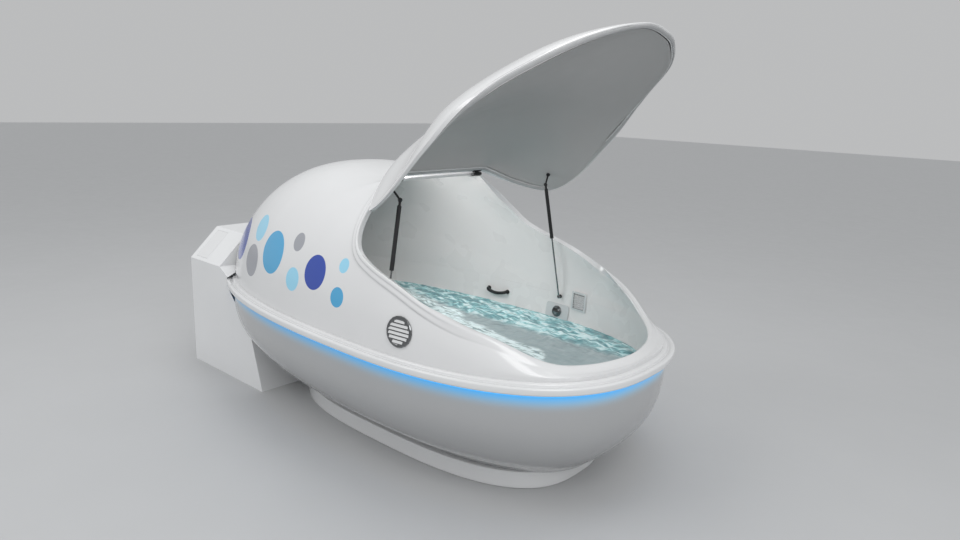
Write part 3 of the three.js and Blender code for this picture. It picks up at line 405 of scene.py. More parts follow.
# Painted glow under the rim, for the light strip's light: its reach in millimetres, and its levels at
# two places along the pod
GLOW_REACH = 80
GLOW_ENDS = (-1.2, 1.2)
GLOW_LEVELS = (0.25, 0.7)


def new_material(name):
    material = bpy.data.materials.new(name)
    material.use_nodes = True
    nodes, links = material.node_tree.nodes, material.node_tree.links
    return material, nodes, links, nodes["Principled BSDF"]


def coordinates(nodes):
    return nodes.new("ShaderNodeTexCoord").outputs["Object"]


def noise(nodes, links, scale, detail=3, rough=0.5):
    texture = nodes.new("ShaderNodeTexNoise")
    texture.inputs["Scale"].default_value = scale
    texture.inputs["Detail"].default_value = detail
    texture.inputs["Roughness"].default_value = rough
    links.new(coordinates(nodes), texture.inputs["Vector"])
    return texture.outputs["Fac"]


def ramp(nodes, links, source, stops):
    node = nodes.new("ShaderNodeValToRGB")
    links.new(source, node.inputs["Fac"])
    elements = node.color_ramp.elements
    while len(elements) < len(stops):
        elements.new(0.5)
    for element, (position, colour) in zip(elements, stops):
        element.position = position
        element.color = (*colour, 1)
    return node.outputs["Color"]


def rescaled(nodes, links, value, low, high, out_low=0.0, out_high=1.0, smooth=False):
    """Value carried from one range to another, straight or as a smooth step."""
    node = nodes.new("ShaderNodeMapRange")
    if smooth:
        node.interpolation_type = 'SMOOTHSTEP'
    for end, level in (("From Min", low), ("From Max", high), ("To Min", out_low), ("To Max", out_high)):
        node.inputs[end].default_value = level
    links.new(value, node.inputs["Value"])
    return node.outputs["Result"]


def bump(nodes, links, source, strength, distance):
    node = nodes.new("ShaderNodeBump")
    node.inputs["Strength"].default_value = strength
    node.inputs["Distance"].default_value = distance
    links.new(source, node.inputs["Height"])
    return node.outputs["Normal"]


def math_node(nodes, links, operation, *values):
    node = nodes.new("ShaderNodeMath")
    node.operation = operation
    for socket, value in zip(node.inputs, values):
        if isinstance(value, (int, float)):
            socket.default_value = value
        else:
            links.new(value, socket)
    return node.outputs[0]


def axes_of(nodes, links):
    split = nodes.new("ShaderNodeSeparateXYZ")
    links.new(coordinates(nodes), split.inputs[0])
    return split.outputs


def mixed(nodes, links, factor, first, second):
    node = nodes.new("ShaderNodeMix")
    node.data_type = 'RGBA'
    links.new(factor, node.inputs[0])
    for socket, value in ((node.inputs[6], first), (node.inputs[7], second)):
        if isinstance(value, tuple):
            socket.default_value = (*value, 1)
        else:
            links.new(value, socket)
    return node.outputs[2]


def moulded(name, colour, rough=0.2, vary=0.015, coat=0.5, scale=3.0, grain=0.03, metallic=0.0):
    """Moulded or sprayed surface: slow colour drift, uneven gloss and a faint ripple."""
    material, nodes, links, shader = new_material(name)
    dark = tuple(c * (1 - vary) for c in colour)
    light = tuple(min(c * (1 + vary), 1) for c in colour)
    drift = noise(nodes, links, scale, 4)
    links.new(ramp(nodes, links, drift, [(0.3, dark), (0.7, light)]), shader.inputs["Base Color"])
    fine = noise(nodes, links, scale * 4, 2)
    gloss = rescaled(nodes, links, fine, 0.3, 0.7, rough * 0.92, rough * 1.1)
    links.new(gloss, shader.inputs["Roughness"])
    links.new(bump(nodes, links, fine, grain, GRAIN_HEIGHT), shader.inputs["Normal"])
    shader.inputs["Metallic"].default_value = metallic
    shader.inputs["Coat Weight"].default_value = coat
    shader.inputs["Coat Roughness"].default_value = 0.06
    return material


def recessed(name, colour, dark):
    """Moulded plastic with painted shade between its slats, darker where ambient occlusion finds
    recesses.
    """
    material = moulded(name, colour, 0.35, 0.03, 0.2, 12)
    nodes, links = material.node_tree.nodes, material.node_tree.links
    shader = nodes["Principled BSDF"]
    hollow = nodes.new("ShaderNodeAmbientOcclusion")
    hollow.inputs["Distance"].default_value = RECESS_REACH
    hollow.only_local = True
    face = shader.inputs["Base Color"].links[0].from_socket
    open_share = rescaled(nodes, links, hollow.outputs["AO"], 0.35, 0.8, smooth=True)
    links.new(mixed(nodes, links, open_share, dark, face), shader.inputs["Base Color"])
    return material


gelcoat = moulded("gelcoat_white", WHITE, 0.22)
# The inside's own coat, made lighter than the outside white as painted light that makes up for the shade
# inside the pod
inner_coat = moulded("gelcoat_inside", (0.83, 0.8, 0.79), 0.28, 0.006, 0.4, 1.5, 0.0)
liner_coat = moulded("gelcoat_lid_inside", (0.4, 0.398, 0.396), 0.45, 0.02, 0.1)
cabinet_coat = moulded("gelcoat_cabinet", (0.72, 0.725, 0.73), 0.32, grain=0.0)
black_plastic = moulded("satin_black", (0.01, 0.01, 0.011), 0.5, 0.1, 0.0, 40)
rubber = moulded("seal_rubber", (0.4, 0.405, 0.41), 0.6, 0.05, 0.0, 40)
steel = moulded("brushed_steel", (0.45, 0.46, 0.47), 0.28, 0.06, 0.0, 30, 0.1, 1.0)
dark_chrome = moulded("dark_chrome", (0.22, 0.225, 0.23), 0.16, 0.06, 0.0, 20, 0.03, 1.0)
# Painted shade: dark material for the vent's back disc, standing in for the shade behind its slats
painted_shade_disc = moulded("painted_shade_recess", (0.1, 0.102, 0.105), 0.5, 0.1, 0.1, 30)
off_white = moulded("panel_white", (0.62, 0.625, 0.63), 0.35, 0.03, 0.2, 12)
grey_plastic = moulded("plain_plastic", (0.42, 0.43, 0.44), 0.5, 0.05, 0.0, 12)
# The second colour is painted shade between the grille's slats
grille_white = recessed("grille_white", (0.66, 0.665, 0.67), (0.05, 0.052, 0.055))


# Plain round dots, as along the pod, up from the floor and radius in metres
DOTS = (
    (-0.86, 0.80, 0.105, "deep"), (-0.60, 0.90, 0.062, "pale"), (-0.62, 0.74, 0.078, "grey"),
    (-0.40, 0.82, 0.098, "mid"), (-0.18, 0.74, 0.052, "pale"), (-0.20, 0.90, 0.040, "grey"),
    (-0.02, 0.80, 0.074, "deep"), (0.16, 0.73, 0.042, "mid"), (0.16, 0.86, 0.030, "pale"),
)
DOT_COLOURS = {
    "deep": (0.02, 0.06, 0.36), "mid": (0.07, 0.36, 0.62),
    "pale": (0.3, 0.62, 0.8), "grey": (0.33, 0.34, 0.37),
}


def dotted_coat():
    """White gelcoat with a scatter of plain coloured dots on the dome's sides."""
    material = moulded("gelcoat_dotted", WHITE, 0.22)
    nodes, links = material.node_tree.nodes, material.node_tree.links
    shader = nodes["Principled BSDF"]
    colour = shader.inputs["Base Color"].links[0].from_socket
    x, _, z = axes_of(nodes, links)
    for along, up, radius, tone in DOTS:
        dx = math_node(nodes, links, 'SUBTRACT', x, along)
        dz = math_node(nodes, links, 'SUBTRACT', z, up)
        square = math_node(nodes, links, 'ADD', math_node(nodes, links, 'MULTIPLY', dx, dx),
                           math_node(nodes, links, 'MULTIPLY', dz, dz))
        inside = rescaled(nodes, links, square, (radius + DOT_BLUR) ** 2, (radius - DOT_BLUR) ** 2)
        colour = mixed(nodes, links, inside, colour, DOT_COLOURS[tone])
    links.new(colour, shader.inputs["Base Color"])
    return material


def hull_coat():
    """Gelcoat darkened to light grey as painted shade, with painted blue light just under the rim: a
    glow and a blue shift of its colour, for the light strip's light.
    """
    # Painted shade: the base colour is darker than the white gelcoat, for the hull's shade as light
    # comes from above
    material = moulded("gelcoat_hull", (0.4, 0.405, 0.41), 0.22)
    nodes, links = material.node_tree.nodes, material.node_tree.links
    shader = nodes["Principled BSDF"]
    x, _, z = axes_of(nodes, links)
    # Painted light: a glow and a blue shift of the colour near the rim, brighter toward the foot, for
    # the light strip's light
    glow = rescaled(nodes, links, z, (HULL_TOP - GLOW_REACH) * MM, HULL_TOP * MM, smooth=True)
    ahead = rescaled(nodes, links, x, *GLOW_ENDS, *GLOW_LEVELS)
    power = math_node(nodes, links, 'POWER', glow, 1.6)
    strength = math_node(nodes, links, 'MULTIPLY', power, ahead)
    face = shader.inputs["Base Color"].links[0].from_socket
    painted_blue_light = math_node(nodes, links, 'MULTIPLY', power, 0.8)
    links.new(mixed(nodes, links, painted_blue_light, face, (0.05, 0.3, 0.5)), shader.inputs["Base Color"])
    links.new(ramp(nodes, links, glow, [(0.0, (0.25, 0.62, 0.8)), (1.0, (0.02, 0.36, 0.85))]),
              shader.inputs["Emission Color"])
    links.new(strength, shader.inputs["Emission Strength"])
    return material


def glow_material():
    """Blue light strip with slightly brighter spots."""
    material = moulded("light_diffuser", (0.04, 0.3, 0.6), 0.4, 0.05, 0.0, 30)
    nodes, links = material.node_tree.nodes, material.node_tree.links
    shader = nodes["Principled BSDF"]
    spots = noise(nodes, links, 25, 1)
    links.new(ramp(nodes, links, spots, [(0.3, (0.02, 0.38, 0.95)), (0.7, (0.04, 0.46, 1.0))]),
              shader.inputs["Emission Color"])
    shader.inputs["Emission Strength"].default_value = 1.0
    return material


# Water's colours, in metres: where the left side with painted highlights starts and how that edge slants
# at the head; then the streak's slant, sway and place, and where its painted shade and painted glints
# start
LEFT_EDGE = (0.31, 0.39)
LEFT_SLANT = 0.12
STREAK_SLANT = 0.32
STREAK_SWAY = 0.45
STREAK_PLACE = 0.46
STREAK_SHADE = (-0.02, -0.08)
STREAK_GLINT = (0.075, 0.03)
RIPPLE_TURN = 12 * DEGREE
RIPPLE_HEIGHT = 0.004


def rippled(nodes, links, scale, stretch, distortion):
    """Noise drawn out along the pod."""
    mapping = nodes.new("ShaderNodeMapping")
    mapping.inputs["Scale"].default_value = (1, stretch, 1)
    mapping.inputs["Rotation"].default_value = (0, 0, RIPPLE_TURN)
    links.new(coordinates(nodes), mapping.inputs["Vector"])
    texture = nodes.new("ShaderNodeTexNoise")
    texture.inputs["Scale"].default_value = scale
    texture.inputs["Detail"].default_value = 5
    texture.inputs["Roughness"].default_value = 0.6
    texture.inputs["Distortion"].default_value = distortion
    links.new(mapping.outputs["Vector"], texture.inputs["Vector"])
    return texture.outputs["Fac"]


def water_material():
    """Teal water with painted light: painted highlights on bright crests along the left side, a calm
    grey middle, and a streak across it with painted shade on one side and painted glints along it.
    """
    material, nodes, links, shader = new_material("water")
    x, y, _ = axes_of(nodes, links)
    broad = rippled(nodes, links, 7, 2.6, 1.6)
    thin = rippled(nodes, links, 10, 4.5, 1.2)
    # Painted highlights on the crests, then painted shade and painted glints by the streak
    crest_highlights = ramp(nodes, links, broad, [(0.40, (0.13, 0.30, 0.33)), (0.47, (0.24, 0.50, 0.53)),
                                        (0.52, (0.42, 0.72, 0.75)), (0.57, (0.74, 0.93, 0.94))])
    shaded = ramp(nodes, links, thin, [(0.36, (0.17, 0.25, 0.26)), (0.62, (0.34, 0.44, 0.455))])
    glints = ramp(nodes, links, thin, [(0.40, (0.28, 0.38, 0.39)), (0.5, (0.8, 0.93, 0.94))])
    calm = ramp(nodes, links, broad, [(0.3, (0.29, 0.37, 0.385)), (0.7, (0.38, 0.46, 0.475))])

    def joined(operation, first, second):
        return math_node(nodes, links, operation, first, second)

    head = joined('MINIMUM', x, 0.0)
    left = joined('ADD', y, joined('MULTIPLY', head, LEFT_SLANT))
    across = joined('ADD', y, joined('MULTIPLY', x, STREAK_SLANT))
    sway = joined('MULTIPLY', rippled(nodes, links, 2.2, 1.3, 0.6), STREAK_SWAY)
    streak = joined('SUBTRACT', joined('ADD', across, sway), STREAK_PLACE)
    beside = math_node(nodes, links, 'ABSOLUTE', streak)
    colour = calm
    for place, edge, beyond in ((left, LEFT_EDGE, crest_highlights), (streak, STREAK_SHADE, shaded),
                                (beside, STREAK_GLINT, glints)):
        colour = mixed(nodes, links, rescaled(nodes, links, place, *edge, smooth=True), colour, beyond)
    links.new(colour, shader.inputs["Base Color"])
    shader.inputs["Roughness"].default_value = 0.06
    shader.inputs["IOR"].default_value = 1.33
    links.new(bump(nodes, links, broad, 0.3, RIPPLE_HEIGHT), shader.inputs["Normal"])
    return material


# Base of the pod

def bowl_rows(shares, bottom, top, inset, tuck, bend, flat):
    rows = []
    for share in shares:
        pull = 1 - (1 - share ** bend) ** (1 / flat)
        ring = oval(AROUND, POD_REAR - inset - pull * tuck[0], POD_FRONT - inset - pull * tuck[1],
                    POD_HALF - inset - pull * tuck[2], WIDEST_X, REAR_POWER, FRONT_POWER)
        ring[:, 2] = top + share * (bottom - top)
        rows.append(ring)
    return np.array(rows)


def bowl(rows, thick, top):
    outer, inner = (rows, offset(rows, -thick)) if thick > 0 else (offset(rows, -thick), rows)
    outer, inner = outer.copy(), inner.copy()
    outer[-1, :, 2] = top
    inner[-1, :, 2] = top
    return np.concatenate([outer, inner[::-1]])


def make_base():
    shares = np.sin(np.linspace(math.pi / 2, 0, BOWL_STEPS))
    quarter = np.linspace(0, math.pi / 2, ROUND_STEPS)

    def plinth_ring(inset, z):
        ring = oval(AROUND, PLINTH_LENGTH / 2 - inset, PLINTH_LENGTH / 2 - inset,
                    PLINTH_WIDTH / 2 - inset, PLINTH_X, PLINTH_POWER, PLINTH_POWER)
        ring[:, 2] = z
        return ring

    outline = [(PLINTH_EDGE * (1 - math.sin(a)), PLINTH_EDGE * (1 - math.cos(a))) for a in quarter]
    outline += [(0, z) for z in np.linspace(PLINTH_EDGE, PLINTH_HEIGHT - PLINTH_ROUND, PLINTH_STEPS)[1:]]
    outline += [(PLINTH_ROUND / 3, PLINTH_HEIGHT - PLINTH_ROUND / 3), (PLINTH_ROUND, PLINTH_HEIGHT),
                (PLINTH_LEDGE, PLINTH_HEIGHT), (PLINTH_LEDGE, PLINTH_HEIGHT - PLINTH_WALL),
                (PLINTH_WALL, PLINTH_HEIGHT - 2 * PLINTH_WALL), (PLINTH_WALL, PLINTH_WALL)]
    points, faces, _ = loft([plinth_ring(inset, z) for inset, z in outline])
    mesh_object("plinth_skin", points, faces, "root", ["plinth"], [gelcoat])

    hull = bowl_rows(shares, HULL_BOTTOM, HULL_TOP, HULL_INSET, HULL_TUCK, HULL_BEND, HULL_FLAT)
    points, faces, _ = loft(bowl(hull, HULL_WALL, HULL_TOP))
    mesh_object("hull_skin", points, faces, "root", ["hull_shell"], [hull_coat()])

    basin = bowl_rows(shares, BASIN_FLOOR, RIM_TOP, BASIN_INSET, BASIN_TUCK, BASIN_BEND, BASIN_FLAT)
    points, faces, _ = loft(bowl(basin, -BASIN_WALL, RIM_TOP))
    mesh_object("basin_skin", points, faces, "root", ["basin"], [inner_coat])

    profile = [(RIM_WIDTH, RIM_SEAT), (HULL_INSET, RIM_SEAT), (HULL_INSET - RIM_LEAN, RIM_BAND),
               (RIM_ROUND, RIM_BAND)]
    profile += [(RIM_ROUND - RIM_ROUND * math.sin(a), RIM_BAND + RIM_ROUND - RIM_ROUND * math.cos(a))
                for a in quarter[1:]]
    profile += [(RIM_ROUND - RIM_ROUND * math.cos(a), RIM_BAND_TOP - RIM_ROUND + RIM_ROUND * math.sin(a))
                for a in quarter]
    profile += [(inset, RIM_BAND_TOP + rise) for inset, rise in RIM_GROOVE]
    profile += [(inset, RIM_TOP + rise) for inset, rise in RIM_BEAD]
    profile.append((RIM_WIDTH, RIM_TOP))
    points, faces, _ = loft([pod_ring(inset, z) for inset, z in profile], loop=True)
    mesh_object("rim_skin", points, faces, "root", ["rim_band"], [gelcoat], sharp=50)

    inner, top = HULL_INSET - LED_HEIGHT, RIM_BAND - SEAT_GAP
    strip = [(inner, top), (inner - LED_WIDTH, top), (inner - LED_WIDTH, top - LED_HEIGHT / 2),
             (inner - LED_WIDTH + LED_CORNER, top - LED_HEIGHT + LED_CORNER / 2),
             (inner - LED_HEIGHT / 2, top - LED_HEIGHT), (inner, top - LED_HEIGHT)]
    points, faces, _ = loft([pod_ring(inset, z) for inset, z in strip], loop=True)
    mesh_object("glow_strip", points, faces, "root", ["light_strip"], [glow_material()])


def wave_height(x, y):
    """Height of the waves: low in the middle of the basin and higher toward its sides."""
    wave = np.zeros_like(x)
    for k in range(WAVES):
        heading = WAVE_TURN * k + WAVE_TURN_SWAY * math.sin(WAVE_TURN_RATE * k)
        length = WAVE_LENGTH + WAVE_LENGTH_STEP * k % WAVE_LENGTH_SPREAD
        phase = (x * math.cos(heading) + y * math.sin(heading)) * 2 * math.pi / length
        bend = np.sin((x + y) / (WAVE_BEND_LENGTH + WAVE_BEND_STEP * k))
        wave += np.sin(phase + WAVE_SHIFT * k + WAVE_BEND * bend)
    rough = smoothstep(np.abs(y), WAVE_CALM_HALF, WAVE_ROUGH_HALF)
    return wave * (WAVE_CALM + WAVE_ROUGH * rough)


def make_water():
    """Rippled sheet that fills the basin at the water line."""
    share = (RIM_TOP - WATER_LEVEL) / (RIM_TOP - BASIN_FLOOR)
    ring = bowl_rows([share], BASIN_FLOOR, RIM_TOP, BASIN_INSET + WATER_GAP,
                     BASIN_TUCK, BASIN_BEND, BASIN_FLAT)[0]
    angles = np.linspace(0, 2 * math.pi, WATER_COLUMNS, endpoint=False)
    ring_angle = np.arctan2(ring[:, 1], ring[:, 0] - WIDEST_X) % (2 * math.pi)
    order = np.argsort(ring_angle)
    turn = np.concatenate([ring_angle[order] + whole * 2 * math.pi for whole in (-1, 0, 1)])
    edge = [np.interp(angles, turn, np.tile(ring[order, axis], 3)) for axis in range(2)]
    rings = []
    for out in np.linspace(1, WATER_LAST_SHARE, WATER_RINGS):
        x = WIDEST_X + (edge[0] - WIDEST_X) * out
        y = edge[1] * out
        inward = smoothstep(1 - out, 0.0, WAVE_EDGE_SHARE)
        height = wave_height(x, y) * (inward * (1 - WAVE_EDGE_CALM) + WAVE_EDGE_CALM)
        rings.append(np.stack([x, y, WATER_LEVEL + height], -1))
    side, floor = rings[0].copy(), rings[0].copy()
    side[:, 2] = WATER_LEVEL - WATER_SIDE
    floor[:, :2] = (floor[:, :2] - [WIDEST_X, 0]) * WATER_FLOOR_SHARE + [WIDEST_X, 0]
    floor[:, 2] = WATER_LEVEL - WATER_DEPTH
    points, faces, _ = loft([floor, side] + rings)
    mesh_object("water", points, faces, "root", (), [water_material()])


# Canopy

def base_half(x):
    length = np.where(x < WIDEST_X, POD_REAR - CANOPY_INSET, POD_FRONT - CANOPY_INSET)
    power = np.where(x < WIDEST_X, REAR_POWER, FRONT_POWER)
    reach = np.minimum(np.abs(x - WIDEST_X) / length, 1)
    return (POD_HALF - CANOPY_INSET) * (1 - reach ** power) ** (1 / power)


def crown_at(x):
    back = np.clip((CROWN_X - x) / CROWN_TO_REAR, 0, 1)
    ahead = np.clip((x - CROWN_X) / CROWN_TO_FOOT, 0, 1)
    rear = CROWN_HEIGHT * (1 - back ** CROWN_REAR_POWER) ** (1 / CROWN_REAR_POWER)
    front = CROWN_HEIGHT * (1 - ahead ** CROWN_FOOT_POWER) ** CROWN_FOOT_DROP
    return np.where(x < CROWN_X, rear, front)


def dome_z(x, y):
    out = np.minimum(np.abs(y) / np.maximum(base_half(x), SEAT_GAP), 1)
    return CANOPY_SHOULDER + crown_at(x) * (1 - out ** SECTION_POWER) ** (1 / SECTION_ROUND)


def canopy_columns():
    share = (np.arange(COLUMN_STEPS + 1) / COLUMN_STEPS) ** 2
    base = pod_ring(CANOPY_INSET, CANOPY_SHOULDER)
    lift = OPENING[:, 2] - dome_z(OPENING[:, 0], OPENING[:, 1])
    columns = base[:, None] + (OPENING - base)[:, None] * share[None, :, None]
    heights = dome_z(columns[..., 0], columns[..., 1]) + lift[:, None] * share[None] ** EDGE_BLEND
    columns[:, 1:, 2] = heights[:, 1:]
    return columns


COLUMNS = canopy_columns()
LENGTHS = np.array([path_length(column)[-1] for column in COLUMNS])
LIP_FADE = 1 - smoothstep(height_share(OPENING), *LIP_FADES_OUT)


def canopy_rows(distances):
    """Rows at distances from the rim, one list of lengths a row."""
    return np.stack([np.stack([at_lengths(COLUMNS[i], d[i]) for i in range(COUNT)]) for d in distances])


# Profile of the lip: distance from the edge, and the height of its stepped and of its
# softened form, as shares of its width and crest
LIP_SHARES = (
    (1, 0, 0), (0.94, 0.14, 0.02), (0.88, 0.4, 0.05), (0.82, 0.56, 0.1), (0.7, 0.57, 0.22),
    (0.6, 0.57, 0.35), (0.5, 0.57, 0.52), (0.42, 0.6, 0.67), (0.37, 0.72, 0.77), (0.33, 0.88, 0.84),
    (0.28, 0.98, 0.91), (0.22, 1, 0.96), (0.1, 1, 1), (0.03, 0.97, 0.97), (0, 0.88, 0.88),
)
# Rows close to the two ends of the lip's inner wall, which keep its shading even
LIP_WALL_SHARES = (0.08, 0.92)
# Share of a column that has closer rows at its foot, and share from which it has a lining
CLOSE_SHARE = 0.1
LINING_SHARE = 0.16


def make_canopy():
    """Dome with its raised lip and its lining; gives its outside rows and a tree of its faces."""
    main_shares = np.concatenate([np.linspace(0, CLOSE_SHARE, FOOT_STEPS),
                                  np.linspace(CLOSE_SHARE, 1, DOME_STEPS)[1:-1]])
    main = canopy_rows([share * (LENGTHS - LIP_WIDTH) for share in main_shares])
    lip = canopy_rows([LENGTHS - share * LIP_WIDTH for share, _, _ in LIP_SHARES])
    skin = np.concatenate([main, lip])
    facing = normals(skin)
    stepped, soft = (np.array([shares[k] for shares in LIP_SHARES])[:, None] for k in (1, 2))
    crest = soft + (stepped - soft) * smoothstep(height_share(OPENING), *LIP_STEPS_IN)
    raised = lip + facing[len(main):] * (LIP_CREST * crest * LIP_FADE)[..., None]
    inside = offset(skin, -CANOPY_WALL)
    lined = [k for k, share in enumerate(main_shares) if share > LINING_SHARE]
    wall = [raised[-1] + (inside[-1] - raised[-1]) * share for share in LIP_WALL_SHARES]
    rings = np.concatenate([
        pod_ring(CANOPY_INSET, CANOPY_BASE)[None], main, raised, wall, inside[-1:], inside[lined][::-1],
        pod_ring(BASIN_INSET, CANOPY_BASE)[None],
    ])
    points, faces, bands = loft(rings, loop=True)
    outer_bands = 1 + len(main) + len(raised) + len(wall)
    indices = [0 if band < len(main) else 1 if band < outer_bands else 2 for band in bands]
    tree = BVHTree.FromPolygons([Vector(p) for p in points], faces)
    make_vent(tree)
    mesh_object("canopy_skin", points, faces, "root", ["canopy_shell"],
                [dotted_coat(), gelcoat, inner_coat], indices, sharp=45)
    return skin, tree


def make_vent(tree):
    """Louvred disc on the right side, square to the canopy and inside its bezel."""
    hit = tree.ray_cast(Vector((VENT_X, -POD_WIDTH, VENT_Z)), Vector((0, 1, 0)))
    spot, facing = np.array(hit[0]), np.array(hit[1])
    if facing[1] > 0:
        facing = -facing
    level = unit(np.cross([0, 0, 1], facing))
    upward = np.cross(facing, level)

    def placed(points):
        points = np.asarray(points, dtype=float)
        return spot + points[:, :1] * level + points[:, 1:2] * upward + points[:, 2:3] * facing

    angles = np.linspace(0, 2 * math.pi, VENT_STEPS, endpoint=False)
    circle = np.stack([np.cos(angles), np.sin(angles)], -1) * VENT_DISC
    # The back disc is painted shade behind the slats
    rings = [placed(np.column_stack([circle, np.full(len(circle), height)])) for height in VENT_BACK]
    points, faces, _ = loft(rings)
    indices = [0] * len(faces)
    for k in range(VENT_SLATS):
        middle = (k - (VENT_SLATS - 1) / 2) * VENT_PITCH
        half = math.sqrt(VENT_DISC ** 2 - (abs(middle) + VENT_PITCH / 2) ** 2)
        low, high = middle - VENT_PITCH * VENT_HALF_SHARE, middle + VENT_PITCH * VENT_HALF_SHARE
        section = [(low, VENT_BACK[1]), (low, VENT_PROUD), (high, VENT_PROUD * VENT_FALL_SHARE),
                   (high, VENT_BACK[1])]
        ends = [placed([(x, y, z) for y, z in section]) for x in (-half, half)]
        more, sides, _ = loft(ends)
        faces += [tuple(index + len(points) for index in face) for face in sides]
        points = np.vstack([points, more])
        indices += [1] * len(sides)
    mesh_object("vent_slats", points, faces, "root", ["vent_louvre"],
                [painted_shade_disc, off_white], indices, sharp=30)


# Lid, built shut and then turned up

def softened(values, width):
    """Values around the rim evened out over the neighbouring columns."""
    steps = np.arange(-3 * width, 3 * width + 1)
    weights = np.exp(-0.5 * (steps / width) ** 2)
    weights /= weights.sum()
    return sum(np.roll(values, step, axis=0) * weight for step, weight in zip(steps, weights))


def lid_rim_face(skin, tree):
    """Lie of the lid's rim by column: its facing, way inward, edge, fade and share of thickness."""
    facing = normals(skin)[-1]
    upright = np.array([math.sin(LID_SLOPE), 0, math.cos(LID_SLOPE)])
    rearward = np.array([-math.cos(LID_SLOPE), 0, math.sin(LID_SLOPE)])
    on_lip = LIP_FADE[:, None]
    normal = unit(softened(unit(upright + (facing - upright) * on_lip), FACING_EVEN))
    back = unit(rearward + (unit(skin[-2] - OPENING) - rearward) * on_lip)
    outer = whole_edge(placed_shares(LID_SHARES))[1]
    fade = 1 - smoothstep(height_share(outer)[:, None], *LID_FADES_OUT)
    square = unit(np.cross(np.roll(outer, -1, axis=0) - np.roll(outer, 1, axis=0), normal))
    back = unit(softened(back * (1 - fade) + square * fade, RIM_EVEN))
    thick = LID_TIP_SPREAD + (1 - LID_TIP_SPREAD) * np.minimum(np.abs(outer[:, 1:2]) / OPENING_HALF, 1)

    # Lift over the canopy in whole millimetres, or drop where the edge is far above it
    lift = np.full(COUNT, -LID_MOST_DROP, dtype=int)
    for inward in (0, LID_RIM / 2, LID_RIM):
        for k, point in enumerate(outer - back * inward):
            near, facing = tree.find_nearest(Vector(point))[:2]
            if facing.dot(Vector(normal[k])) < 0:
                facing = -facing
            height_over = (Vector(point) - near).dot(facing)
            lift[k] = max(lift[k], LID_SEAL_SPACE - height_over)
    most = np.max([np.roll(lift, k) for k in range(-LIFT_REACH, LIFT_REACH + 1)], axis=0)
    move = softened(most, RIM_EVEN)[:, None] * fade
    outer = outer + normal * np.maximum(move, 0) + np.array([0, 0, 1]) * np.minimum(move, 0)
    return normal, back, outer, fade, thick


def crowned(outline, crown, shares):
    """Rows of points from an outline to its middle, on one smooth crowned sheet."""
    start, tip = outline[SIDE_STEPS], outline[0]
    middle = np.array([start[0] + LID_CENTRE * (tip[0] - start[0]), 0, 0])
    pieces = np.linalg.norm(np.roll(outline, -1, axis=0) - np.roll(outline, 1, axis=0), axis=-1) / 2

    def sheet(points):
        away = np.hypot(points[:, :1] - outline[:, 0], points[:, 1:2] - outline[:, 1])
        pull = pieces / np.maximum(away, 1) ** 3
        total = pull.sum(axis=1)
        return pull @ outline[:, 2] / total, total ** -0.5

    deepest = sheet(middle[None])[1][0]
    rows = []
    for share in shares:
        point = outline + (middle - outline) * share
        height, depth = sheet(point)
        depth = np.minimum(depth / deepest, 1)
        along = (point[:, 0] - start[0]) / (tip[0] - start[0])
        rise = crown * (LID_HINGE_SHARE + (1 - LID_HINGE_SHARE) * smoothstep(along, 0, LID_CENTRE))
        point[:, 2] = height + rise * (1 - (1 - depth) ** LID_POWER) ** LID_BULGE
        rows.append(point)
    return np.array(rows)


def soft_least(a, b, width):
    """Smaller of two values, rounded off where they meet."""
    gap = max(width - abs(a - b), 0) / width
    return min(a, b) - gap * gap * width / 4


def turned_up(points):
    """Points of the shut lid, turned about the hinge axis into the open rest place."""
    c, s = math.cos(OPEN_ANGLE), math.sin(OPEN_ANGLE)
    dx, dz = points[..., 0] - AXIS_X, points[..., 2] - AXIS_Z
    return np.stack([AXIS_X + c * dx - s * dz, points[..., 1], AXIS_Z + s * dx + c * dz], -1)


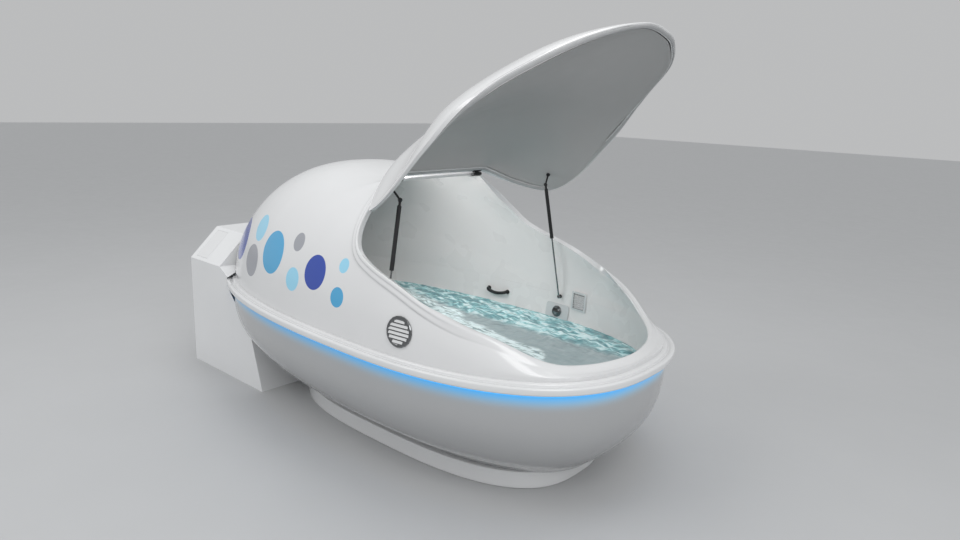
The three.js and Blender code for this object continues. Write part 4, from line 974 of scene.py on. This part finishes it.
def make_lid(skin, tree):
    """Shell, lining and seal; the lining stays over the canopy's lip and under the shell."""
    normal, back, outer, fade, thick = lid_rim_face(skin, tree)
    band = LID_FLANGE + (LID_RIM - LID_FLANGE) * (1 - fade)

    def rim_row(inward, lift, extra=0):
        return outer - back * (inward + extra * (1 - fade)) + normal * lift

    shares = (np.linspace(0, 1, LID_ROWS) ** 2 * LID_LAST_SHARE)[::-1]
    rise = normal * LID_EDGE * thick
    outside = crowned(outer + rise, LID_CROWN, shares)
    inner = offset(outside[::-1], -LID_SKIN)
    rings = np.concatenate([
        outside, (outer + rise * LID_EDGE_SHARE)[None], rim_row(LID_EDGE_STEP, 0)[None],
        rim_row(band - LID_CORNER_IN, 0)[None], rim_row(band, LID_CORNER_UP)[None],
        rim_row(band, LID_SKIN)[None], rim_row(LID_SKIN, LID_SKIN)[None], inner[2::2],
    ])
    points, faces, _ = loft(rings)
    mesh_object("lid_skin", turned_up(points), faces, "lid", ["lid_shell"],
                [gelcoat], sharp=50)

    roof = BVHTree.FromPolygons([Vector(p) for p in points], faces)
    edge = rim_row(band + LINER_WALL, LINER_WALL)
    under = crowned(edge, LINER_CROWN, shares)
    for row in under:
        for point in row:
            below = tree.ray_cast(Vector((point[0], point[1], 2 * POD_WIDTH)), Vector((0, 0, -1)))[0]
            if below is not None:
                point[2] = max(point[2], below.z + LINER_OVER_LIP)
            hit = roof.ray_cast(Vector((point[0], point[1], 0)), Vector((0, 0, 1)))[0]
            if hit is not None:
                point[2] = soft_least(point[2], hit.z - LINER_DEPTH, LINER_DEPTH)
    above = offset(under[::-1], LINER_WALL)
    points, faces, _ = loft(np.concatenate([under, above]))
    mesh_object("lid_inside", turned_up(points), faces, "lid", ["lid_liner"], [liner_coat])

    inward = (LID_OVERHANG - SEAL_WIDTH) / 2
    extra = LID_RIM - SEAL_WIDTH - 2 * inward
    seal = [(0, SEAL_TOP), (SEAL_WIDTH, SEAL_TOP), (SEAL_WIDTH, -SEAL_HEIGHT + SEAL_CORNER_UP),
            (SEAL_WIDTH - SEAL_CORNER_IN, -SEAL_HEIGHT), (SEAL_CORNER_IN, -SEAL_HEIGHT),
            (0, -SEAL_HEIGHT + SEAL_CORNER_UP)]
    points, faces, _ = loft([rim_row(inward + a, b, extra) for a, b in seal], loop=True)
    mesh_object("lid_seal_strip", turned_up(points), faces, "lid", ["lid_seal"], [rubber])


# CAD pieces that keep their shape get a surface and soft edges

EDGE_ANGLE = 35 * DEGREE
# Width of the rounding along the cabinet's edges, in metres
ROUNDING = 0.003


def smooth_edges():
    """Modifier group that shades smooth and keeps edges over a limit sharp."""
    group = bpy.data.node_groups.new("smooth_edges", 'GeometryNodeTree')
    group.interface.new_socket("Geometry", in_out='INPUT', socket_type='NodeSocketGeometry')
    group.interface.new_socket("Geometry", in_out='OUTPUT', socket_type='NodeSocketGeometry')
    nodes, links = group.nodes, group.links
    start, end = nodes.new("NodeGroupInput"), nodes.new("NodeGroupOutput")
    angle = nodes.new("GeometryNodeInputMeshEdgeAngle")
    over = nodes.new("FunctionNodeCompare")
    over.data_type = 'FLOAT'
    over.operation = 'GREATER_THAN'
    over.inputs[1].default_value = EDGE_ANGLE
    links.new(angle.outputs[0], over.inputs[0])
    faces, edges = nodes.new("GeometryNodeSetShadeSmooth"), nodes.new("GeometryNodeSetShadeSmooth")
    edges.domain = 'EDGE'
    edges.inputs["Shade Smooth"].default_value = False
    links.new(start.outputs[0], faces.inputs["Geometry"])
    links.new(faces.outputs[0], edges.inputs["Geometry"])
    links.new(over.outputs[0], edges.inputs["Selection"])
    links.new(edges.outputs[0], end.inputs[0])
    return group


CAD_LOOKS = {
    "hull_beam_1": grey_plastic, "hull_beam_2": grey_plastic, "hull_beam_3": grey_plastic,
    "drain_cover": dark_chrome, "vent_bezel": dark_chrome,
    "button_panel": off_white, "button_bezel": dark_chrome, "call_button": dark_chrome,
    "air_grille": grille_white, "grab_handle": black_plastic,
    "hinge_leaf_canopy_right": black_plastic, "hinge_leaf_canopy_left": black_plastic,
    "hinge_leaf_lid_right": black_plastic, "hinge_leaf_lid_left": black_plastic,
    "hinge_pin_right": steel, "hinge_pin_left": steel,
    "strut_tube_right": black_plastic, "strut_tube_left": black_plastic,
    "strut_rod_right": dark_chrome, "strut_rod_left": dark_chrome,
    "strut_stud_wall_right": black_plastic, "strut_stud_wall_left": black_plastic,
    "strut_stud_lid_right": black_plastic, "strut_stud_lid_left": black_plastic,
    "cabinet_shell": cabinet_coat, "cabinet_hatch": gelcoat, "cabinet_tray": grey_plastic,
    "pump_volute": black_plastic, "pump_motor": steel, "filter_vessel": grey_plastic,
    "filter_cap": black_plastic, "water_heater": steel, "control_unit": grey_plastic,
    "return_pipe": grey_plastic, "suction_pipe": grey_plastic,
}


def dress_cad():
    """Material and soft edges for every CAD piece in the table, and rounding for the cabinet's."""
    group = smooth_edges()
    for name, material in CAD_LOOKS.items():
        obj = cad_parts[name]
        if not obj.material_slots:
            obj.data.materials.append(material)
        for slot in obj.material_slots:
            slot.material = material
        if name.startswith("cabinet"):
            rounding = obj.modifiers.new("rounding", 'BEVEL')
            rounding.width = ROUNDING
            rounding.segments = 3
            rounding.limit_method = 'ANGLE'
            rounding.angle_limit = EDGE_ANGLE
        obj.modifiers.new("smooth_edges", 'NODES').node_group = group


# Floor, light and camera, in metres

PALE = (0.46, 0.465, 0.47)
FLOOR_HALF = 30
WORLD_LIGHT = (0.78, 0.79, 0.8)
BACKDROP = (0.5, 0.505, 0.51)
# Place, aim, width, depth and power of each lamp
LAMPS = {
    "key": ((-1.5, -3.5, 4.5), (0, 0, 0.7), 3.0, 2.0, 55),
    "top": ((0.0, 0.5, 5.0), (0, 0, 0.5), 4.0, 2.0, 42),
    "inside": ((-0.15, -0.1, 1.1), (0.5, 0.5, 0.55), 0.5, 0.4, 4.2),
    "fill": ((3.2, -1.6, 3.0), (0.1, 0.2, 0.6), 2.0, 2.0, 40),
}
CAMERA_PLACE = (2.468, -2.427, 1.5555)
CAMERA_YAW = 40.508 * DEGREE
CAMERA_PITCH = 13.451 * DEGREE
CAMERA_ROLL = 2.269 * DEGREE
FOCAL_PIXELS = 709.75
PHOTO_PIXELS = 960
SENSOR_WIDTH = 36
CLIP_END = 100


def make_floor():
    mesh = bpy.data.meshes.new("floor")
    corners = [(x * FLOOR_HALF, y * FLOOR_HALF, 0) for x, y in ((-1, -1), (1, -1), (1, 1), (-1, 1))]
    mesh.from_pydata(corners, [], [(0, 1, 2, 3)])
    mesh.materials.append(moulded("floor_paint", PALE, 0.6, 0.01, 0.0, 2.0, 0.02))
    floor = linked(bpy.data.objects.new("floor", mesh))


def make_world():
    """Even light, with a plain grey backdrop for rays from the camera, off gloss and through glass."""
    world = bpy.data.worlds.new("studio")
    bpy.context.scene.world = world
    world.use_nodes = True
    nodes, links = world.node_tree.nodes, world.node_tree.links
    background = nodes["Background"]
    rays = nodes.new("ShaderNodeLightPath")
    seen = rays.outputs["Is Camera Ray"]
    for ray in ("Is Transmission Ray", "Is Glossy Ray"):
        seen = math_node(nodes, links, 'MAXIMUM', seen, rays.outputs[ray])
    links.new(mixed(nodes, links, seen, WORLD_LIGHT, BACKDROP), background.inputs["Color"])
    background.inputs["Strength"].default_value = 1.0


def make_lamps():
    for name, (place, aim, width, depth, power) in LAMPS.items():
        light = bpy.data.lights.new(name, 'AREA')
        light.shape = 'RECTANGLE'
        light.size, light.size_y = width, depth
        light.energy = power
        lamp = linked(bpy.data.objects.new(name, light))
        lamp.location = place
        lamp.rotation_euler = (Vector(aim) - Vector(place)).to_track_quat('-Z', 'Y').to_euler()


def make_camera():
    yaw, pitch, roll = CAMERA_YAW, CAMERA_PITCH, CAMERA_ROLL
    look = Vector((-math.sin(yaw) * math.cos(pitch), math.cos(yaw) * math.cos(pitch), -math.sin(pitch)))
    level = Vector((math.cos(yaw), math.sin(yaw), 0))
    up = level.cross(look)
    right = math.cos(roll) * level + math.sin(roll) * up
    top = -math.sin(roll) * level + math.cos(roll) * up
    data = bpy.data.cameras.new("camera")
    data.sensor_width = SENSOR_WIDTH
    data.lens = FOCAL_PIXELS / PHOTO_PIXELS * SENSOR_WIDTH
    data.clip_end = CLIP_END
    camera = linked(bpy.data.objects.new("camera", data))
    basis = Matrix((right, top, -look)).transposed().to_4x4()
    camera.matrix_world = Matrix.Translation(CAMERA_PLACE) @ basis
    bpy.context.scene.camera = camera


make_camera()
make_base()
make_water()
make_lid(*make_canopy())
dress_cad()
make_floor()
make_world()
make_lamps()
bpy.context.scene.view_settings.view_transform = 'Standard'
